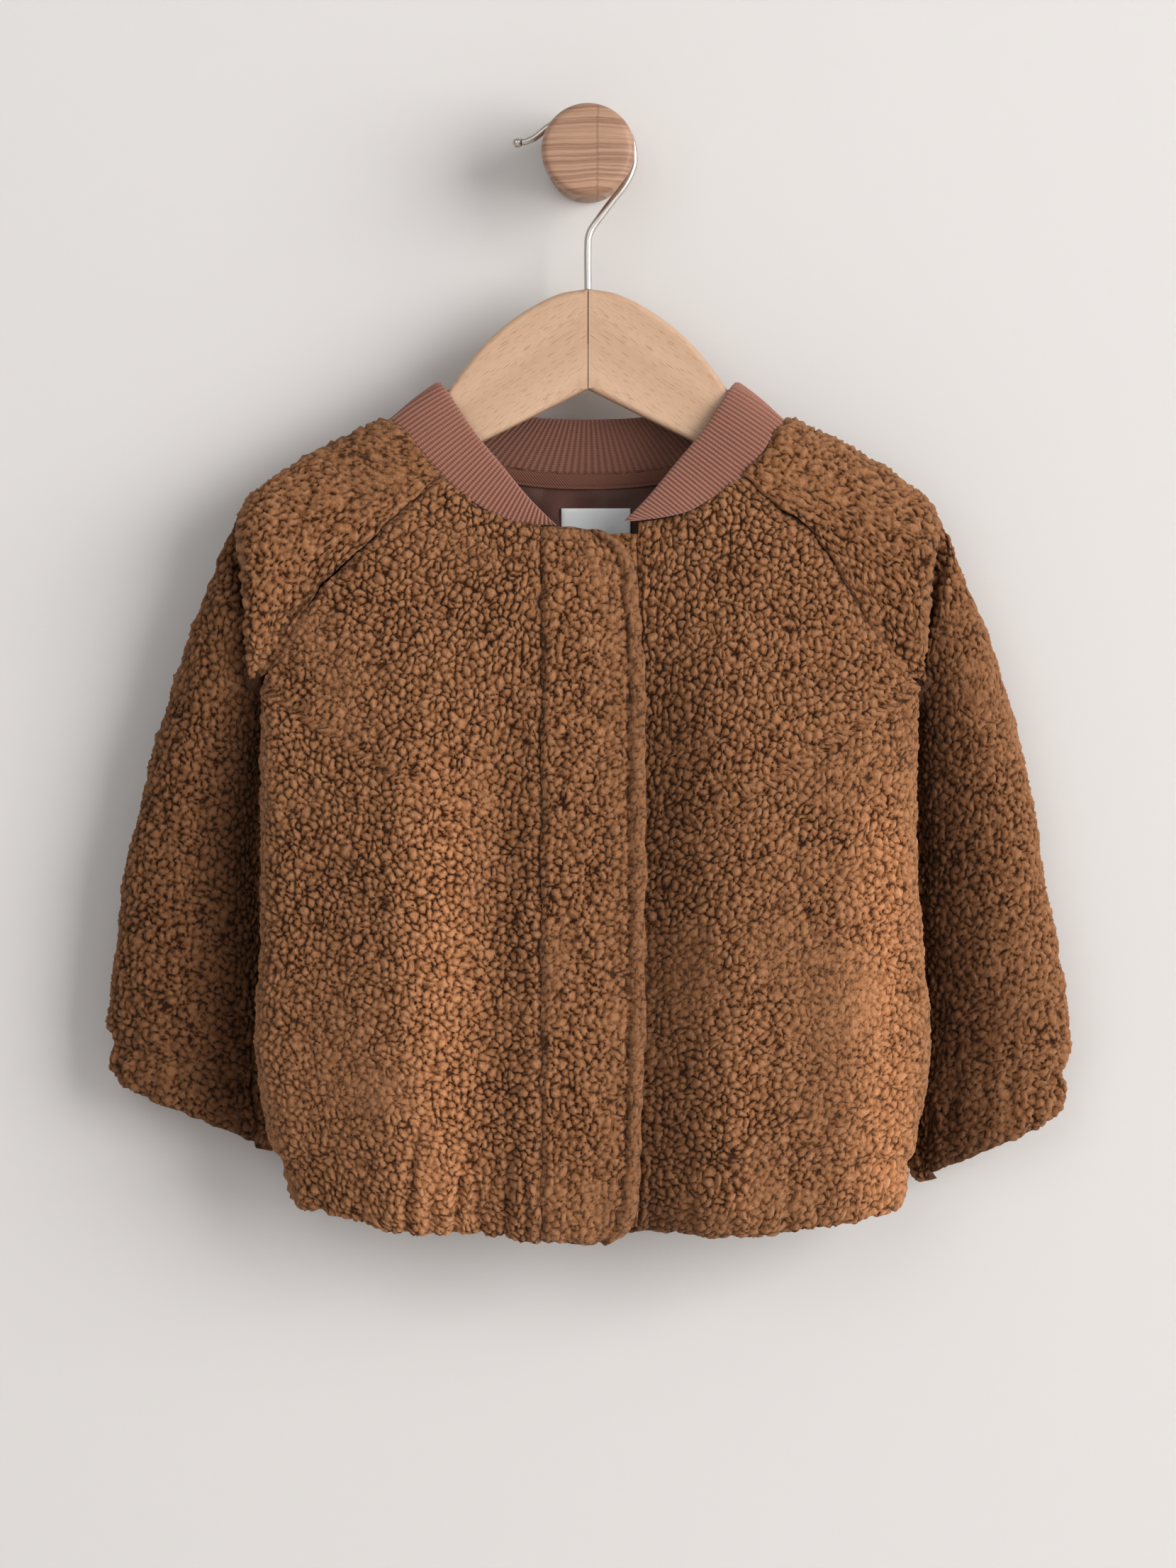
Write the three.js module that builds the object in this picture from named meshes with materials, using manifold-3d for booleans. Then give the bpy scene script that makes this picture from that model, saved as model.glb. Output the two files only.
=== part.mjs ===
// A child's raglan fleece jacket on a wooden hanger, hung by its wire hook from a round wall peg.
// Millimetres, +Z up. The jacket's front faces -Y and the wall is the plane y = 0. The origin is the
// middle of the peg's back face. Left and right are the picture's: left is -X.
import * as THREE from "three";
import { mergeVertices } from "three/addons/utils/BufferGeometryUtils.js";
import Module from "manifold-3d";

const wasm = await Module();
wasm.setup();

// Cloth
const FLEECE = 5; // thickness of the fleece with its pile
const SEAM_GAP = 0.3; // between two sewn pieces
const SEAM_DIP = 1.8; // how far the pile sinks at a seam
const ARMPIT_THIN = 4; // how much thinner the cloth is pressed at the armpit
const INNER_INSET = 3.2; // how far the inside of a wall stops short of its seams
const THIN = 1; // thickness of lining, tape and label

// Hanger, hook and peg
const HANG_Y = -30; // the plane in which the hanger and its hook hang
const HANGER_THICK = 11;
const HANGER_EDGE = 2.4; // rounding of the hanger's edges
const WIRE = 1.65; // radius of the hook's wire
const HOOK_RADIUS = 20.5; // of the hook's bend, to the middle of the wire
const HOOK_TIP = 2.4; // radius of the ball at the wire's end
const PEG_NECK = 17.6; // radius of the peg where the hook rests
const HOOK_CENTRE_Z = PEG_NECK + SEAM_GAP + WIRE - HOOK_RADIUS;

// The body's level sections, from the hem up: half widths to the picture's left and right, and the
// depth y of the widest point, the centre front and the centre back.
const SECTIONS = [
  { z: -484, left: 110, right: 122, side: -42, front: -63, back: -15 },
  { z: -472, left: 122, right: 133, side: -44, front: -69, back: -10.5 },
  { z: -465, left: 128, right: 137.5, side: -45, front: -72, back: -8.5 },
  { z: -450, left: 134, right: 140.5, side: -46.5, front: -75, back: -6.5 },
  { z: -435, left: 139.5, right: 144, side: -48, front: -77.5, back: -5 },
  { z: -419, left: 143.5, right: 148, side: -49, front: -79, back: -4.5 },
  { z: -394, left: 146.6, right: 151, side: -49, front: -79.5, back: -4.3 },
  { z: -346, left: 144.5, right: 147, side: -48, front: -78, back: -4.5 },
  { z: -300, left: 144.5, right: 145, side: -46, front: -74, back: -5.5 },
  { z: -260, left: 144.5, right: 145.5, side: -42.5, front: -67, back: -7 },
  { z: -234, left: 144.5, right: 146, side: -37, front: -62, back: -8 },
  { z: -185, left: 147, right: 146, side: -32, front: -51.5, back: -10 },
  { z: -165, left: 150, right: 149, side: -31, front: -48.5, back: -11 },
  { z: -152, left: 151, right: 150, side: -30, front: -48, back: -12 },
  { z: -140, left: 137, right: 134, side: -30, front: -48, back: -12 },
  { z: -127, left: 111.5, right: 109, side: -30, front: -48, back: -12 },
  { z: -116, left: 89, right: 88, side: -30, front: -47, back: -13 },
  { z: -104, left: 66, right: 66, side: -30, front: -46, back: -14 },
];
const FRONT_POWER = 2.7; // how square the front half of a section is: 2 is an ellipse
const BACK_POWER = 2.2;
const USUAL = { width: 145, front: 32, back: 34 }; // the section that spreads the columns of points

// The neckline, from beside the centre front up to the point of the shoulder: [distance out, z].
const NECKLINE = {
  left: [[14, -165], [28.5, -164], [39, -161.3], [53, -153], [64.5, -143], [72.5, -134.5],
    [81, -123.5], [88.8, -116]],
  right: [[21, -163.2], [34, -161.3], [44.6, -158.5], [56, -152], [68, -143.4], [75.5, -134.5],
    [82.5, -123.5], [88, -116]],
};
const BACK_NECK_DROP = 25; // how far the back neckline dips below the shoulder points
// Raglan seams from the neckline down; each ends at the top of the side seam, the armpit: [distance out, z]
const FRONT_SEAM = {
  left: [[64.5, -143], [83, -160], [101, -177], [118.8, -194], [134, -215]],
  right: [[68, -143.4], [84.7, -157], [96, -165.6], [106.6, -179], [125, -209]],
};
const BACK_SEAM = [[60, -131.3], [84, -158], [108, -190], [129.5, -216]];
const ARMPIT_Z = -234;

// The hem: its height at the centre and how far it rises to the sides
const HEM_Z = -480;
const HEM_RISE = 13;
const GATHER_LINE_Z = -446; // where the elastic's seam draws the cloth in
const GATHER_DEPTH = 2.2;
const HEM_TURN = 1.5; // how far the cloth rounds in at its turned-up edges

// Bands down the front
const PLACKET_SEAM_X = -20.6;
const UNDER_BAND_X = -17; // the hidden edge of the under band
const RIGHT_SEAM_X = 22.3;
const PLACKET_RAISE = 1.5; // the placket lies this far proud of the fronts
const UNDER_DEPTH = 4.8; // the under band lies this far below the fronts' face
const UNDER_CLEAR = 1.4; // between the placket and the under band
// The placket's free edge, from the hem up: [x, z]
const PLACKET_EDGE = [[12, -480.5], [19, -472], [22, -455], [24, -418], [25, -370], [25, -250], [24.2, -215],
  [22.2, -193], [19.3, -181], [15, -174], [7, -168]];

// Points per piece: columns across and rows up
const FRONT_COLUMNS = 20;
const BACK_COLUMNS = 36;
const SIDE_ROWS = 12; // rows beside a side seam
const SEAM_ROWS = 10; // rows beside a raglan seam, as many as the sleeve's columns along it
const NECK_COLUMNS = 4; // columns of a sleeve along a neckline
const SLEEVE_COLUMNS = 2 * (NECK_COLUMNS + SEAM_ROWS);
const ROWS_PER_RING = 2;

// A sleeve's sections from the fold at the shoulder to the cuff. Each is a flat oval between its outer point
// (out, z) and its inner point (inOut, inZ), at y and inY, with the depths of its front and its back.
const SLEEVE_RINGS = [
  { out: 149, z: -150, y: -30, inOut: 148.6, inZ: -235, inY: -36, front: 17, back: 20 }, // fold
  { out: 157, z: -163, y: -27, inOut: 145.5, inZ: -238, inY: -31, front: 2, back: 18 }, // groove
  { out: 164, z: -178, y: -26, inOut: 142.3, inZ: -243.5, inY: -25, front: 13, back: 18 },
  { out: 172, z: -200, y: -24, inOut: 140.8, inZ: -253, inY: -21.5, front: 15, back: 17 },
  { out: 185, z: -238, y: -23, inOut: 140.5, inZ: -276, inY: -21, front: 16, back: 16 },
  { out: 197, z: -281, y: -22, inOut: 141, inZ: -311, inY: -20.5, front: 15.5, back: 15 },
  { out: 206, z: -326, y: -22, inOut: 140, inZ: -349, inY: -20, front: 16, back: 14.5 },
  { out: 212.5, z: -368, y: -22, inOut: 138.5, inZ: -389, inY: -20, front: 16, back: 14 },
  { out: 214.5, z: -384, y: -21, inOut: 137.5, inZ: -404, inY: -20, front: 15.5, back: 13.5 }, // fullness
  { out: 211.5, z: -395, y: -21, inOut: 138.5, inZ: -417, inY: -20, front: 12.5, back: 11.5 }, // elastic
  { out: 213, z: -404, y: -21, inOut: 136.5, inZ: -430, inY: -20, front: 14, back: 12.5 }, // casing
  { out: 209, z: -414, y: -21, inOut: 139, inZ: -443, inY: -20, front: 11, back: 10.5 }, // edge
];
const RING_POWER = 2.4;
const RIDGE_LIFT = 2.5; // the shoulder's top is this much rounder than a straight line
const RIGHT_SLEEVE_DROP = 14; // the right cuff hangs lower than the left one
const RIGHT_SLEEVE_SHIFT = 5; // and its inner side stands further out
const DROP_FROM_Z = -270;
const DROP_TO_Z = -415;
const CUFF_GATHER = 1.6;

// The neckband's top edge, from the front tip round the shoulder to the centre back: [out, y, z]
const BAND_TOP = [[16, -45.4, -163.4], [26.5, -44.8, -152.6], [38, -43.4, -138.6], [50, -41.4, -124],
  [58.8, -38.9, -110.6], [63.3, -35, -103.6], [65, -30, -101.6], [63.3, -25, -103.4], [57.5, -21, -107.4],
  [42, -17.4, -113], [21, -15.6, -116], [0, -15, -116.7]];
const BAND_SHOULDER_SHARE = 0.5; // share of the half band between the front tip and the shoulder point
const BAND_THICK = 2.4;
const BAND_DEPTH = 3.2; // its middle lies this far below the fleece's face
const RIBS = 140;
const RIB_HEIGHT = 0.4;

// What shows inside the back neck
const LINING = { half: 62, low: -236 };
const TAPE = { half: 66, height: 6.5 };
const NECK_MARGIN = 0.6; // from the neckline down to the lining and the tape
const LABEL = { from: -12, to: 19, top: -156, low: -182 };

const { lerp, clamp, degToRad } = THREE.MathUtils;
const bell = (x, width) => Math.exp(-((x / width) ** 2));
const even = (count) => Array.from({ length: count + 1 }, (_, i) => i / count);

// A smooth function through rows of numbers, of which the first rises.
function through(rows) {
  const last = rows.length - 1;
  const slope = (i, c) => {
    const a = rows[Math.max(i - 1, 0)];
    const b = rows[Math.min(i + 1, last)];
    return (b[c] - a[c]) / (b[0] - a[0]);
  };
  return (t) => {
    const above = rows.findIndex((row) => row[0] > t);
    const i = above < 0 ? last - 1 : Math.max(above - 1, 0);
    const [a, b] = [rows[i], rows[i + 1]];
    const span = b[0] - a[0];
    const s = (t - a[0]) / span;
    return a.slice(1).map((value, k) => {
      const c = k + 1;
      const [h00, h10] = [2 * s ** 3 - 3 * s ** 2 + 1, s ** 3 - 2 * s ** 2 + s];
      const [h01, h11] = [3 * s ** 2 - 2 * s ** 3, s ** 3 - s ** 2];
      return h00 * value + h10 * span * slope(i, c) + h01 * b[c] + h11 * span * slope(i + 1, c);
    });
  };
}

// A smooth line through points, as a function of the share of its length.
function line(points) {
  let far = 0;
  const rows = points.map((p, i) => {
    far += i ? Math.hypot(...p.map((value, c) => value - points[i - 1][c])) : 0;
    return [far, ...p];
  });
  const at = through(rows);
  return (share) => at(share * far);
}

// The share of a line's length at which its rising first number reaches a value.
function shareWhere(at, value) {
  let [low, high] = [0, 1];
  for (let i = 0; i < 30; i++) {
    const middle = (low + high) / 2;
    if (at(middle)[0] < value) low = middle;
    else high = middle;
  }
  return low;
}

const section = through(SECTIONS.map((s) => [s.z, s.left, s.right, s.side, s.front, s.back]));

// The angle round a quarter section at each share of its length, and the share at each angle.
function quarter(depth, power) {
  const steps = 400;
  const lengths = [0];
  const place = (i) => {
    const angle = (i / steps) * (Math.PI / 2);
    const r = (Math.sin(angle) ** power + Math.cos(angle) ** power) ** (-1 / power);
    return [USUAL.width * r * Math.sin(angle), depth * r * Math.cos(angle)];
  };
  for (let i = 1; i <= steps; i++) {
    const [a, b] = [place(i - 1), place(i)];
    lengths.push(lengths[i - 1] + Math.hypot(b[0] - a[0], b[1] - a[1]));
  }
  const whole = lengths[steps];
  const between = (share) => {
    const i = Math.min(lengths.findIndex((l) => l >= share * whole) || 1, steps);
    return (i - 1 + (share * whole - lengths[i - 1]) / (lengths[i] - lengths[i - 1])) / steps;
  };
  return {
    angle: (share) => (share <= 0 ? 0 : share >= 1 ? Math.PI / 2 : (between(share) * Math.PI) / 2),
    share: (angle) => {
      const at = clamp(angle / (Math.PI / 2), 0, 1) * steps;
      const i = Math.min(Math.floor(at), steps - 1);
      return lerp(lengths[i], lengths[i + 1], at - i) / whole;
    },
  };
}
const FRONT_QUARTER = quarter(USUAL.front, FRONT_POWER);
const BACK_QUARTER = quarter(USUAL.back, BACK_POWER);

// A point of the body's face. Station 0 is the centre front, 1 the right side, 2 the centre back, 3 the left
function bodyPoint(station, z) {
  const s = ((((station + 2) % 4) + 4) % 4) - 2;
  const [left, right, side, front, back] = section(z);
  const isBack = Math.abs(s) > 1;
  const power = isBack ? BACK_POWER : FRONT_POWER;
  const angle = isBack ? BACK_QUARTER.angle(2 - Math.abs(s)) : FRONT_QUARTER.angle(Math.abs(s));
  const r = (Math.sin(angle) ** power + Math.cos(angle) ** power) ** (-1 / power);
  const width = s < 0 ? -left : right;
  const depth = (isBack ? back : front) - side;
  return new THREE.Vector3(width * r * Math.sin(angle), side + depth * r * Math.cos(angle), z);
}

// The station of the body's face at x, on the front or the back.
function stationAt(x, z, isBack = false) {
  const [left, right] = section(z);
  const power = isBack ? BACK_POWER : FRONT_POWER;
  const s = clamp(Math.abs(x) / (x < 0 ? left : right), 0, 1);
  const angle = Math.atan2(s, (1 - s ** power) ** (1 / power));
  const share = Math.sign(x) * (isBack ? BACK_QUARTER : FRONT_QUARTER).share(angle);
  return isBack ? 2 - share : share;
}

// The point of a surface at (u, v), moved in from its outside by a depth. Outside is where du x dv points.
function sunk(surface, u, v, depth) {
  const step = 2e-3;
  const [ua, ub] = [u - step, u + step];
  const [va, vb] = [v - step, v + step];
  const du = surface(ub, v).sub(surface(ua, v));
  const dv = surface(u, vb).sub(surface(u, va));
  return surface(u, v).addScaledVector(du.cross(dv).normalize(), -depth);
}

// The flat shape between four borders, each a function of 0..1 that gives [station, z].
function patch(bottom, top, first, second) {
  const corners = [bottom(0), bottom(1), top(0), top(1)];
  return (u, v) =>
    [0, 1].map((c) => {
      const ruled = lerp(bottom(u)[c], top(u)[c], v) + lerp(first(v)[c], second(v)[c], u);
      return ruled - lerp(lerp(corners[0][c], corners[1][c], u), lerp(corners[2][c], corners[3][c], u), v);
    });
}

// One closed wall: outer points at every (u, v), inner ones at every second, joined along the borders.
// The outside is where du x dv points. A round wall closes on itself in u.
function wall({ us, vs, outer, inner, round = false }) {
  const columns = us.length - 1;
  const rows = vs.length - 1;
  const points = [];
  const faces = [];
  const grid = (make, step) => {
    const start = points.length;
    const across = columns / step;
    const width = round ? across : across + 1;
    for (let j = 0; j <= rows; j += step)
      for (let i = 0; i < width; i++) points.push(make(us[i * step], vs[j]));
    return (i, j) => start + (j / step) * width + (round ? (i / step) % across : i / step);
  };
  const o = grid(outer, 1);
  const n = grid(inner, 2);
  const skin = (at, step, turn) => {
    for (let j = 0; j < rows; j += step)
      for (let i = 0; i < columns; i += step) {
        const quad = [at(i, j), at(i + step, j), at(i + step, j + step), at(i, j + step)];
        const [a, b, c, d] = turn ? quad.reverse() : quad;
        faces.push([a, b, c], [a, c, d]);
      }
  };
  skin(o, 1, false);
  skin(n, 2, true);
  const rim = (count, at, turn) => {
    for (let k = 0; k < count; k += 2) {
      const [i0, i1] = [at(n, k), at(n, k + 2)];
      const [o0, o1, o2] = [at(o, k), at(o, k + 1), at(o, k + 2)];
      const fan = [[i0, i1, o2], [i0, o2, o1], [i0, o1, o0]];
      faces.push(...(turn ? fan.map((f) => f.reverse()) : fan));
    }
  };
  rim(columns, (at, k) => at(k, 0), false);
  rim(columns, (at, k) => at(k, rows), true);
  if (!round) {
    rim(rows, (at, k) => at(0, k), true);
    rim(rows, (at, k) => at(columns, k), false);
  }
  return geometryOf(points, faces);
}

function geometryOf(points, faces) {
  const geometry = new THREE.BufferGeometry().setFromPoints(points);
  geometry.setIndex(faces.flat());
  geometry.computeVertexNormals();
  return geometry;
}

// 1 on the border of a panel, 0 one point in from it
const atBorder = (u, v) => (u <= 0 || u >= 1 || v >= 1 ? 1 : 0);

// Folds of the hem's elastic: full at its seam, gone a hand's width above, and uneven from one to the next.
function gather(u, z, count, seed) {
  const wave = Math.cos(2 * Math.PI * count * u);
  const uneven = 0.65 + 0.35 * Math.sin(u * count * 1.9 + seed);
  const reach = z < GATHER_LINE_Z ? lerp(0.55, 1, bell(z - GATHER_LINE_Z, 14)) : bell(z - GATHER_LINE_Z, 24);
  const groove = 1.2 * bell(z - GATHER_LINE_Z, 5);
  return GATHER_DEPTH * uneven * reach * wave - groove;
}

// A fleece panel over a piece of the body's face, with its gathers and its sunk seams.
function fleecePanel({ shape, us, vs, gathers, seed, extra = () => 0 }) {
  const surface = (u, v) => bodyPoint(...shape(u, v));
  const inset = (t, share) => lerp(share, 1 - share, t);
  const shareU = INNER_INSET / surface(0, 0.5).distanceTo(surface(1, 0.5));
  const shareV = INNER_INSET / surface(0.5, 0).distanceTo(surface(0.5, 1));
  return wall({
    us,
    vs,
    outer: (u, v) => {
      const border = atBorder(u, v);
      const raised = gather(u, shape(u, v)[1], gathers, seed) * lerp(1, 0.4, border) + extra(u, v);
      return sunk(surface, u, v, SEAM_DIP * border + (v <= 0 ? HEM_TURN : 0) - raised);
    },
    inner: (u, v) => {
      const [a, b] = [inset(u, shareU), inset(v, shareV)];
      const beside = bell(v - ARMPIT_SHARE - 0.04, 0.14) * bell(Math.min(u, 1 - u), 0.15);
      return sunk(surface, a, b, FLEECE - Math.min(0, extra(a, b)) - ARMPIT_THIN * beside);
    },
  });
}

const sideName = (side) => (side < 0 ? "left" : "right");
const hemZ = (station) => HEM_Z + HEM_RISE * Math.abs(Math.sin((station * Math.PI) / 2)) ** 5;
const ARMPIT_SHARE = SIDE_ROWS / (SIDE_ROWS + SEAM_ROWS); // where a panel's rows pass the armpit
const backNeckZ = (x) => {
  const out = Math.abs(x) / NECKLINE.left.at(-1)[0];
  return NECKLINE.left.at(-1)[1] - BACK_NECK_DROP * (1 - out ** 2.4);
};

// The rows of a panel: closer together at the hem, where the gathers are.
const PANEL_ROWS = even(SIDE_ROWS + SEAM_ROWS).map((v) => {
  const t = v / ARMPIT_SHARE;
  return v < ARMPIT_SHARE ? ARMPIT_SHARE * lerp(t, t ** 1.6, 0.8) : v;
});

// A raglan seam down to the armpit, as a share of its length: [distance out, z]
function raglan(side, isBack) {
  const width = section(ARMPIT_Z)[side < 0 ? 0 : 1];
  return line([...(isBack ? BACK_SEAM : FRONT_SEAM[sideName(side)]), [width, ARMPIT_Z]]);
}

// A panel's side: up the side seam to the armpit, then along the raglan seam. Both as [station, z].
function sideBorder(side, isBack) {
  const seam = raglan(side, isBack);
  const sideStation = isBack ? 2 - side : side;
  const gap = (isBack ? side : -side) * (SEAM_GAP / 2 / USUAL.width);
  return (v) => {
    if (v <= ARMPIT_SHARE) return [sideStation + gap, lerp(hemZ(1), ARMPIT_Z, v / ARMPIT_SHARE)];
    const [out, z] = seam(1 - (v - ARMPIT_SHARE) / (1 - ARMPIT_SHARE));
    return [stationAt(side * out, z, isBack) + gap, z];
  };
}

// The neckline of a front, from its band's seam to its raglan seam
function frontNeck(side, fromX) {
  const neck = line(NECKLINE[sideName(side)]);
  const start = shareWhere(neck, Math.abs(fromX));
  const end = shareWhere(neck, FRONT_SEAM[sideName(side)][0][0]);
  return (u) => {
    const [out, z] = neck(lerp(start, end, u));
    return [side * out, z - SEAM_GAP / 2];
  };
}

function frontPanel(side) {
  const seamX = side < 0 ? PLACKET_SEAM_X - SEAM_GAP / 2 : RIGHT_SEAM_X;
  const neck = frontNeck(side, seamX);
  const bandSeam = (v) => {
    const z = lerp(HEM_Z, neck(0)[1], v);
    return [stationAt(seamX, z), z];
  };
  const sides = sideBorder(side, false);
  const corner = sides(0);
  const bottom = (u) => {
    const station = lerp(bandSeam(0)[0], corner[0], u);
    return [station, hemZ(station)];
  };
  const top = (u) => {
    const [x, z] = neck(u);
    return u >= 1 ? sides(1) : [stationAt(x, z), z];
  };
  const shape = patch(bottom, top, bandSeam, sides);
  // Beside the placket the right front sinks under its edge.
  const under = (u) => (side > 0 ? -UNDER_DEPTH * bell(u, 0.13) : 0);
  const turned = side > 0 ? shape : (u, v) => shape(1 - u, v);
  return fleecePanel({
    shape: turned,
    us: even(FRONT_COLUMNS),
    vs: PANEL_ROWS,
    gathers: FRONT_COLUMNS / 2,
    seed: side,
    extra: (u) => under(side > 0 ? u : 1 - u),
  });
}

function backPanel() {
  const first = sideBorder(1, true);
  const second = sideBorder(-1, true);
  const neckOut = BACK_SEAM[0][0];
  const bottom = (u) => {
    const station = lerp(first(0)[0], second(0)[0], u);
    return [station, hemZ(station)];
  };
  const top = (u) => {
    const x = lerp(neckOut, -neckOut, u);
    const z = backNeckZ(x) - SEAM_GAP / 2;
    return u <= 0 ? first(1) : u >= 1 ? second(1) : [stationAt(x, z, true), z];
  };
  return fleecePanel({
    shape: patch(bottom, top, first, second),
    us: even(BACK_COLUMNS),
    vs: PANEL_ROWS,
    gathers: BACK_COLUMNS / 2,
    seed: 4,
  });
}

// The armhole: shoulder point, front neckline, front raglan seam, armpit, and back up behind.
function armhole(side) {
  const neck = NECKLINE[sideName(side)];
  const corner = FRONT_SEAM[sideName(side)][0];
  const frontNeckLine = line([...neck.filter((p) => p[0] >= corner[0] - 1)].reverse());
  const [frontSeam, backSeam] = [raglan(side, false), raglan(side, true)];
  const neckShare = NECK_COLUMNS / SLEEVE_COLUMNS;
  const shoulder = neck.at(-1);
  const half = (t, isBack) => {
    if (t >= neckShare) {
      const [out, z] = (isBack ? backSeam : frontSeam)((t - neckShare) / (0.5 - neckShare));
      return bodyPoint(stationAt(side * out, z, isBack), z);
    }
    const s = t / neckShare;
    const backOut = lerp(shoulder[0], BACK_SEAM[0][0], s);
    const [out, z] = isBack ? [backOut, backNeckZ(backOut)] : frontNeckLine(s);
    const station = s <= 0 ? side : stationAt(side * out, z, isBack);
    return bodyPoint(station, z);
  };
  return (t) => (t <= 0.5 ? half(t, false) : half(1 - t, true));
}

// A flat oval section of a sleeve at t round it: 0 is its outer point, a quarter its front.
function ringPoint(ring, side, t) {
  const angle = t * 2 * Math.PI;
  const [c, s] = [Math.cos(angle), Math.sin(angle)];
  const r = (Math.abs(c) ** RING_POWER + Math.abs(s) ** RING_POWER) ** (-1 / RING_POWER);
  const along = (1 + r * c) / 2;
  const across = r * s;
  const z = lerp(ring.inZ, ring.z, along);
  const y = lerp(ring.inY, ring.y, along) - (across > 0 ? ring.front : ring.back) * across;
  const low = side > 0 ? clamp((z - DROP_FROM_Z) / (DROP_TO_Z - DROP_FROM_Z), 0, 1) : 0;
  const x = side * (lerp(ring.inOut, ring.out, along) + RIGHT_SLEEVE_SHIFT * low * (1 - along));
  return new THREE.Vector3(x, y, z - RIGHT_SLEEVE_DROP * low);
}

function sleeve(side) {
  const seam = armhole(side);
  const halfway = (t) => {
    const p = seam(t).lerp(ringPoint(SLEEVE_RINGS[0], side, t), 0.5);
    p.z += RIDGE_LIFT * Math.max(0, Math.cos(t * 2 * Math.PI)) ** 4;
    return p;
  };
  const rings = [seam, halfway, ...SLEEVE_RINGS.map((ring) => (t) => ringPoint(ring, side, t))];
  const last = rings.length - 1;
  const surface = (t, k) => {
    const round = ((t % 1) + 1) % 1;
    return new THREE.Vector3(...through(rings.map((ring, i) => [i, ...ring(round).toArray()]))(k));
  };
  // The wall runs round so that its outside is where du x dv points.
  const turned = (u, v) => surface(side < 0 ? 1 - u : u, v * last);
  const first = SEAM_GAP / 2 / seam(0.3).distanceTo(halfway(0.3)) / last;
  // The rings are closest together at the armpit, so the same gap takes a larger share of the way there.
  const wider = (u) => 1 + 8 * bell(u - 0.5, 0.16) + 3 * bell(Math.min(u, 1 - u), 0.08);
  const start = (u, v) => lerp(first * wider(u), 1, v);
  const elastic = last - 2;
  const cuff = (u, v) => {
    const k = v * last - elastic;
    const reach = k < 0 ? bell(k, 1.6) : lerp(0.5, 1, bell(k, 1));
    const uneven = 0.7 + 0.3 * Math.sin(9 * u + side);
    return CUFF_GATHER * reach * uneven * Math.cos(Math.PI * SLEEVE_COLUMNS * u);
  };
  const inset = INNER_INSET / seam(0.3).distanceTo(halfway(0.3)) / last;
  return wall({
    us: even(SLEEVE_COLUMNS),
    vs: even(last * ROWS_PER_RING),
    round: true,
    outer: (u, v) => {
      const dip = SEAM_DIP * (1 - 0.8 * bell(u - 0.5, 0.16));
      const border = v <= 0 ? dip : v >= 1 ? HEM_TURN : 0;
      return sunk(turned, u, start(u, v), border - cuff(u, v));
    },
    inner: (u, v) => {
      const underArm = bell(u - 0.5, 0.13) * bell(v * last, 2);
      return sunk(turned, u, Math.max(start(u, v), inset * wider(u)), FLEECE - ARMPIT_THIN * underArm);
    },
  });
}

// The placket: a band from its seam to its free edge, with a stitched groove beside a rolled edge.
function placket() {
  const seamX = PLACKET_SEAM_X + SEAM_GAP / 2;
  const edge = line(PLACKET_EDGE);
  const topZ = -165.6;
  const onBody = (x, z) => [stationAt(x, z), z];
  const first = (v) => onBody(seamX, lerp(HEM_Z, topZ, v));
  const second = (v) => onBody(...edge(v));
  const ends = [edge(0), edge(1)];
  const bottom = (u) => onBody(lerp(seamX, ends[0][0], u), lerp(HEM_Z, ends[0][1], u));
  const top = (u) => onBody(lerp(seamX, ends[1][0], u), lerp(topZ, ends[1][1], u));
  const shape = patch(bottom, top, first, second);
  const surface = (u, v) => bodyPoint(...shape(u, v));
  const us = [0, 0.17, 0.34, 0.52, 0.7, 0.83, 0.88, 0.95, 1];
  const groove = us[5];
  return wall({
    us,
    vs: even(24),
    outer: (u, v) => {
      const stitched = u === groove ? 1.2 : 0;
      const border = v <= 0 || v >= 1 || u >= 1 ? 1.6 : u <= 0 ? SEAM_DIP + PLACKET_RAISE : 0;
      return sunk(surface, u, v, border + stitched - PLACKET_RAISE);
    },
    inner: (u, v) => sunk(surface, lerp(0.02, 0.97, u), lerp(0.003, 0.997, v), UNDER_DEPTH - UNDER_CLEAR),
  });
}

// The under band of the right front, below the placket
function underBand() {
  const [low, high] = [HEM_Z + 5, -168.5];
  const shape = (u, v) => {
    const z = lerp(low, high, v);
    return [stationAt(lerp(UNDER_BAND_X, RIGHT_SEAM_X - SEAM_GAP, u), z), z];
  };
  const surface = (u, v) => bodyPoint(...shape(u, v));
  return wall({
    us: even(4),
    vs: even(20),
    outer: (u, v) => sunk(surface, u, v, UNDER_DEPTH),
    inner: (u, v) => sunk(surface, lerp(0.02, 0.98, u), v, UNDER_DEPTH + FLEECE - THIN),
  });
}

// A thin strip on the inside of the back, from x = from to x = to, at a depth below the fleece's face
function insideBack({ from, to, top, low, columns, rows, depth }) {
  const surface = (u, v) => {
    const x = lerp(from, to, u);
    const z = lerp(low(x), top(x), v);
    return bodyPoint(stationAt(x, z, true), z);
  };
  // u runs against the body's stations here, so its outside faces into the jacket.
  return wall({
    us: even(columns),
    vs: even(rows),
    outer: (u, v) => sunk(surface, u, v, -depth - THIN),
    inner: (u, v) => sunk(surface, u, v, -depth),
  });
}

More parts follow.
